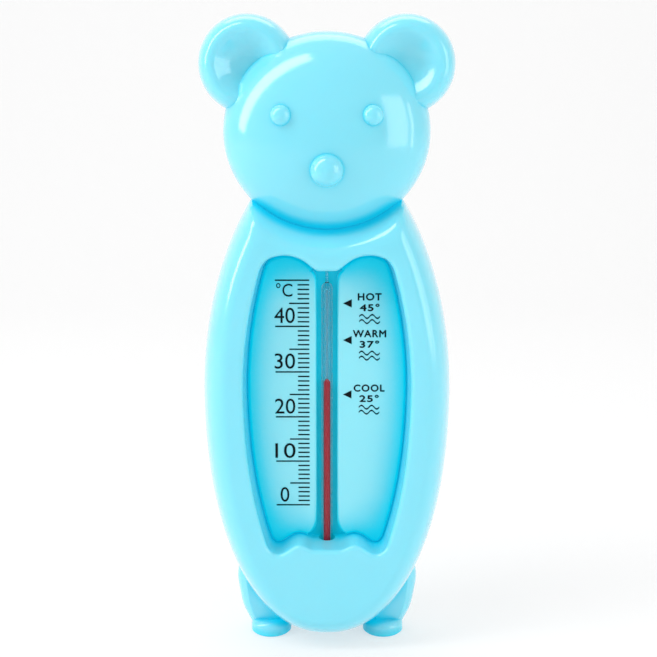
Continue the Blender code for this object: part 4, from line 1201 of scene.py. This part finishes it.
# %% Numbers on the left pad
NUMBER_LEFT_X = -12.66 * MM
NUMBER_WIDTH = 4.94 * MM
NUMBER_HEIGHT = 3.78 * MM
NUMBER_ABOVE_LINE = 0.8 * MM
NUMBER_STEP = 10
DIGIT_WIDTH = 2.15 * MM
DIGIT_SHIFT = 1.2 * MM
UNIT_WIDTH = 3.9 * MM
UNIT_HEIGHT = 3.3 * MM
UNIT_SHIFT = 0.5 * MM
UNIT_DROP = 4.0 * MM


def build_scale_print():
    """The degree lines, the numbers and the unit."""
    mesh_data = bmesh.new()
    add_scale_lines(mesh_data)
    for number in range(NUMBER_STEP, SCALE_TOP, NUMBER_STEP):
        low = ZERO_Z + number * DEGREE + NUMBER_ABOVE_LINE
        add_text(mesh_data, str(number), NUMBER_LEFT_X, low, NUMBER_WIDTH, NUMBER_HEIGHT)
    add_text(mesh_data, "0", NUMBER_LEFT_X + DIGIT_SHIFT, ZERO_Z + NUMBER_ABOVE_LINE, DIGIT_WIDTH,
             NUMBER_HEIGHT)
    unit_low = ZERO_Z + SCALE_TOP * DEGREE - UNIT_DROP
    add_text(mesh_data, "°C", NUMBER_LEFT_X + UNIT_SHIFT, unit_low, UNIT_WIDTH, UNIT_HEIGHT)
    return dress(new_object("print", mesh_data), "scale_print", print_ink)


build_scale_print()

# %% Pointers, words and plain numbers on the right pad
WORD_MIDDLE_X = 10.25 * MM
WORD_HEIGHT = 1.68 * MM
WORD_RAISE = 0.75 * MM
WORD_SPACING = 1.15
FIGURE_SPACING = 1.1
BOLDER = 0.07 * MM
LINE_PITCH = 2.6 * MM
WARMTH = (("HOT", 5.6 * MM), ("WARM", 7.9 * MM), ("COOL", 7.4 * MM))
FIGURE_WIDTH = 4.6 * MM
WAVE_WIDTH = 5.0 * MM
WAVE_RISE = 0.45 * MM
WAVE_COUNT = 2
WAVE_THICKNESS = 0.36 * MM
WAVE_STEPS = 28
WAVE_LINES = 2
WAVE_DROP = 3.2 * MM
WAVE_PITCH = 1.25 * MM


def add_wave(mesh_data, middle_x, z):
    """A small water line of two waves."""
    upper, lower = [], []
    for i in range(WAVE_STEPS + 1):
        x = middle_x - WAVE_WIDTH / 2.0 + WAVE_WIDTH * i / WAVE_STEPS
        height = z + WAVE_RISE * math.sin(2.0 * math.pi * WAVE_COUNT * i / WAVE_STEPS)
        upper.append((x, height + WAVE_THICKNESS / 2.0))
        lower.append((x, height - WAVE_THICKNESS / 2.0))
    add_prism(mesh_data, lower + upper[::-1])


def build_warmth_print():
    """The pointers with a plain word, a number and a water line each."""
    mesh_data = bmesh.new()
    for temperature, (word, width) in zip(POINTER_TEMPERATURES, WARMTH):
        add_pointer(mesh_data, temperature)
        middle_z = ZERO_Z + temperature * DEGREE
        low = middle_z + WORD_RAISE
        add_text(mesh_data, word, WORD_MIDDLE_X - width / 2.0, low, width, WORD_HEIGHT, BOLDER, WORD_SPACING)
        add_text(mesh_data, "%d°" % temperature, WORD_MIDDLE_X - FIGURE_WIDTH / 2.0, low - LINE_PITCH,
                 FIGURE_WIDTH, WORD_HEIGHT, BOLDER, FIGURE_SPACING)
        for line in range(WAVE_LINES):
            add_wave(mesh_data, WORD_MIDDLE_X, middle_z - WAVE_DROP - line * WAVE_PITCH)
    return dress(new_object("print", mesh_data), "warmth_print", print_ink)


build_warmth_print()

# %% [markdown]
# ## The glass tube and the spirit
#
# The tube is thick-walled glass with a fine bore, so the thin red thread looks wider than it is. The bore
# is closed at the top here, as on the real tube. The thread is a hair wider than the bore, so that light
# passes from glass to spirit with no film of air between.

# %% Tube and spirit
TUBE_SIDES = 128
BORE_RADIUS = 0.55 * MM
BULB_WALL = 0.5 * MM
BULB_NECK = 3.4 * MM
NECK_TOP_Z = SILL_Z - 1.1 * MM
BULB_TOP_Z = NECK_TOP_Z - BULB_NECK
BORE_BELOW_TIP = 1.5 * MM
WETTING = 0.01 * MM
TAIL_RADIUS = 0.36 * MM
TAIL_TOP_Z = BROW_Z - 0.3 * MM
DOME_STEPS = 12
NECK_STEPS = 10


def dome(radius, middle_z, direction):
    """Points of a round end from its pole to its rim. direction is -1 for a lower end, else +1."""
    angles = [math.pi / 2.0 * i / DOME_STEPS for i in range(DOME_STEPS + 1)]
    return [(radius * math.sin(a) if i else 0.0, middle_z + direction * radius * math.cos(a))
            for i, a in enumerate(angles)]


def neck(wide, narrow):
    """Points of the shoulder between the bulb and the tube."""
    shares = [i / NECK_STEPS for i in range(1, NECK_STEPS + 1)]
    return [(wide + (narrow - wide) * (1.0 - math.cos(math.pi * s)) / 2.0, BULB_TOP_Z + BULB_NECK * s)
            for s in shares]


def tube_profile(bulb_radius, tube_radius, bottom_z, end_z):
    """A bulb, a shoulder and a straight stem with a round end."""
    points = dome(bulb_radius, bottom_z + bulb_radius, -1.0)
    points.append((bulb_radius, BULB_TOP_Z))
    points += neck(bulb_radius, tube_radius)
    return points + list(reversed(dome(tube_radius, end_z - tube_radius, 1.0)))


def with_tail(profile):
    """The profile with its round end drawn out into the thin tail that is left where the glass was sealed."""
    stem = [(radius, z) for radius, z in profile if z < tube_high.z - TUBE_RADIUS or radius > TAIL_RADIUS]
    return stem + [(TAIL_RADIUS, tube_high.z + TAIL_RADIUS)] + list(
        reversed(dome(TAIL_RADIUS, TAIL_TOP_Z - TAIL_RADIUS, 1.0)))


def build_tube():
    """The glass with its closed bore as one object."""
    profile = with_tail(tube_profile(BULB_RADIUS, TUBE_RADIUS, tube_low.z, tube_high.z))
    outside = turned("tube", profile, -TUBE_DEPTH, TUBE_SIDES)
    bore = turned("bore", tube_profile(BULB_RADIUS - BULB_WALL, BORE_RADIUS, tube_low.z + BULB_WALL,
                                       tube_high.z - BORE_BELOW_TIP), -TUBE_DEPTH, TUBE_SIDES)
    combine(outside, [bore], "DIFFERENCE")
    return dress(outside, "glass_tube_clear", tube_glass, "glass_tube")


def build_spirit():
    """The spirit in the bulb and its thread up to the reading."""
    profile = tube_profile(BULB_RADIUS - BULB_WALL + WETTING, BORE_RADIUS + WETTING,
                           tube_low.z + BULB_WALL - WETTING, spirit_top_z)
    thread = turned("spirit", profile, -TUBE_DEPTH, TUBE_SIDES)
    return dress(thread, "spirit_thread", red_liquid, "red_spirit")


build_tube()
build_spirit()

# %% The soft seat under the bulb keeps its CAD shape
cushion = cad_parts["bulb_cushion"]
cushion.data.materials.clear()
cushion.data.materials.append(soft_vinyl)
print("cushion:", len(cushion.data.polygons), "faces")

# %% [markdown]
# ## The set
#
# The bear stands on a white sweep: a floor that bends up into a backdrop. Its colour does most of the work.
# What the camera sees of it, and what gloss and glass show of it, is lifted towards white, while the soft
# shadow stays and no more light reaches the object.

# %% Floor and backdrop
SWEEP_FRONT_Y = -0.6
SWEEP_BEND_Y = 0.45
SWEEP_RADIUS = 0.3
SWEEP_HEIGHT = 1.2
SWEEP_HALF_WIDTH = 1.6
SWEEP_STEPS = 24
SWEEP_LIFT = 0.6
BOARD_WHITE = (0.94, 0.94, 0.94, 1.0)


def build_sweep():
    """A sheet of white board that curves from the floor up to the backdrop."""
    line = [(SWEEP_FRONT_Y, 0.0)]
    for i in range(SWEEP_STEPS + 1):
        angle = math.pi / 2.0 * i / SWEEP_STEPS
        line.append((SWEEP_BEND_Y + SWEEP_RADIUS * math.sin(angle), SWEEP_RADIUS * (1.0 - math.cos(angle))))
    line.append((SWEEP_BEND_Y + SWEEP_RADIUS, SWEEP_HEIGHT))
    mesh_data = bmesh.new()
    sides = (-SWEEP_HALF_WIDTH, SWEEP_HALF_WIDTH)
    rows = [[mesh_data.verts.new((x, y, z)) for x in sides] for y, z in line]
    for near, far in zip(rows, rows[1:]):
        mesh_data.faces.new((near[0], near[1], far[1], far[0]))
    made = new_object("sweep", mesh_data)
    made.data.shade_smooth()
    return made


def build_board():
    """White board that is lifted towards white for the camera and in gloss and glass, but not as light."""
    made, shader = plain_material("white_board", BOARD_WHITE, roughness=0.9, Specular_IOR_Level=0.1)
    tree = made.node_tree
    path = tree.nodes.new("ShaderNodeLightPath")
    glow = add_node(tree, "ShaderNodeEmission", Color=(1.0, 1.0, 1.0, 1.0), Strength=1.0)
    seen = path.outputs["Is Camera Ray"]
    for kind in ("Is Glossy Ray", "Is Transmission Ray"):
        either = tree.nodes.new("ShaderNodeMath")
        either.operation = "MAXIMUM"
        tree.links.new(seen, either.inputs[0])
        tree.links.new(path.outputs[kind], either.inputs[1])
        seen = either.outputs[0]
    mix = tree.nodes.new("ShaderNodeMixShader")
    tree.links.new(sum_of(tree, seen, SWEEP_LIFT, 0.0), mix.inputs[0])
    tree.links.new(shader.outputs[0], mix.inputs[1])
    tree.links.new(glow.outputs[0], mix.inputs[2])
    tree.links.new(mix.outputs[0], tree.nodes["Material Output"].inputs["Surface"])
    return made


sweep = build_sweep()
sweep.data.materials.append(build_board())
print("sweep:", len(sweep.data.polygons), "faces")

# %% [markdown]
# ## Light
#
# The photograph is a bright one, so an even white world does most of the lighting. A long softbox on the
# left, tilted like the bear's shoulder, draws the arc on the head and the long highlights on the left
# edges. A broad one on the right gives the faint patch on the cheek, a strip beside it draws the thin
# bright line, and one high behind the bear pales the tops of the head and the ears.

# %% World and lamps
AIM = Vector((0.0, 0.0, 0.085))
WORLD_STRENGTH = 0.70
LAMPS = (
    # name, azimuth, elevation, distance, width and height, power, roll
    ("key_softbox", -68.0, 38.0, 0.60, (0.90, 0.17), 2.3, 70.0),
    ("right_softbox", 58.0, 8.0, 0.62, (0.30, 0.50), 0.85, 0.0),
    ("right_strip", 80.0, 5.0, 0.60, (0.05, 0.40), 0.16, 0.0),
    ("top_softbox", 180.0, 62.0, 0.62, (0.60, 0.25), 0.75, 0.0),
)


def area_lamp(name, azimuth, elevation, distance, size, power, roll):
    """A rectangular softbox that looks at the bear. Azimuth 0 is the camera's side, and + is to its right."""
    turn, lift = math.radians(azimuth), math.radians(elevation)
    away = Vector((math.sin(turn) * math.cos(lift), -math.cos(turn) * math.cos(lift), math.sin(lift)))
    data = bpy.data.lights.new(name, "AREA")
    data.shape = "RECTANGLE"
    data.size, data.size_y = size
    data.energy = power
    lamp = bpy.data.objects.new(name, data)
    lamp.location = AIM + away * distance
    lamp.rotation_mode = "QUATERNION"
    spin = Quaternion((0.0, 0.0, 1.0), math.radians(roll))
    lamp.rotation_quaternion = away.to_track_quat("Z", "Y") @ spin
    bpy.context.scene.collection.objects.link(lamp)
    return lamp


world = bpy.data.worlds.new("studio")
bpy.context.scene.world = world
world.use_nodes = True
sky = world.node_tree.nodes["Background"]
sky.inputs["Color"].default_value = (1.0, 1.0, 1.0, 1.0)
sky.inputs["Strength"].default_value = WORLD_STRENGTH

lamps = [area_lamp(*row) for row in LAMPS]
print("lamps:", [lamp.name for lamp in lamps])

# %% [markdown]
# ## The camera
#
# The photograph looks down on the bear by about eleven and a half degrees, from a third of a metre away.
# The distance matters, because a near camera sees the underside of the chin and the top of the sill at
# once.

# %% Camera
CAMERA_DISTANCE = 320.0 * MM
CAMERA_ELEVATION = math.radians(11.5)
TARGET = Vector((0.37 * MM, PARTING_Y, 79.77 * MM))
FOCAL_PIXELS = 1304.1
IMAGE_WIDTH = 657.0
SENSOR_WIDTH = 36.0
NEAR_CLIP = 10.0 * MM

camera_data = bpy.data.cameras.new("camera")
camera_data.sensor_width = SENSOR_WIDTH
camera_data.lens = SENSOR_WIDTH * FOCAL_PIXELS / IMAGE_WIDTH
camera_data.clip_start = NEAR_CLIP
camera = bpy.data.objects.new("camera", camera_data)
away = Vector((0.0, -math.cos(CAMERA_ELEVATION), math.sin(CAMERA_ELEVATION)))
camera.location = TARGET + away * CAMERA_DISTANCE
camera.rotation_mode = "QUATERNION"
camera.rotation_quaternion = away.to_track_quat("Z", "Y")
bpy.context.scene.collection.objects.link(camera)
bpy.context.scene.camera = camera
bpy.context.scene.view_settings.view_transform = "Standard"
print("lens: %.2f mm" % camera_data.lens)
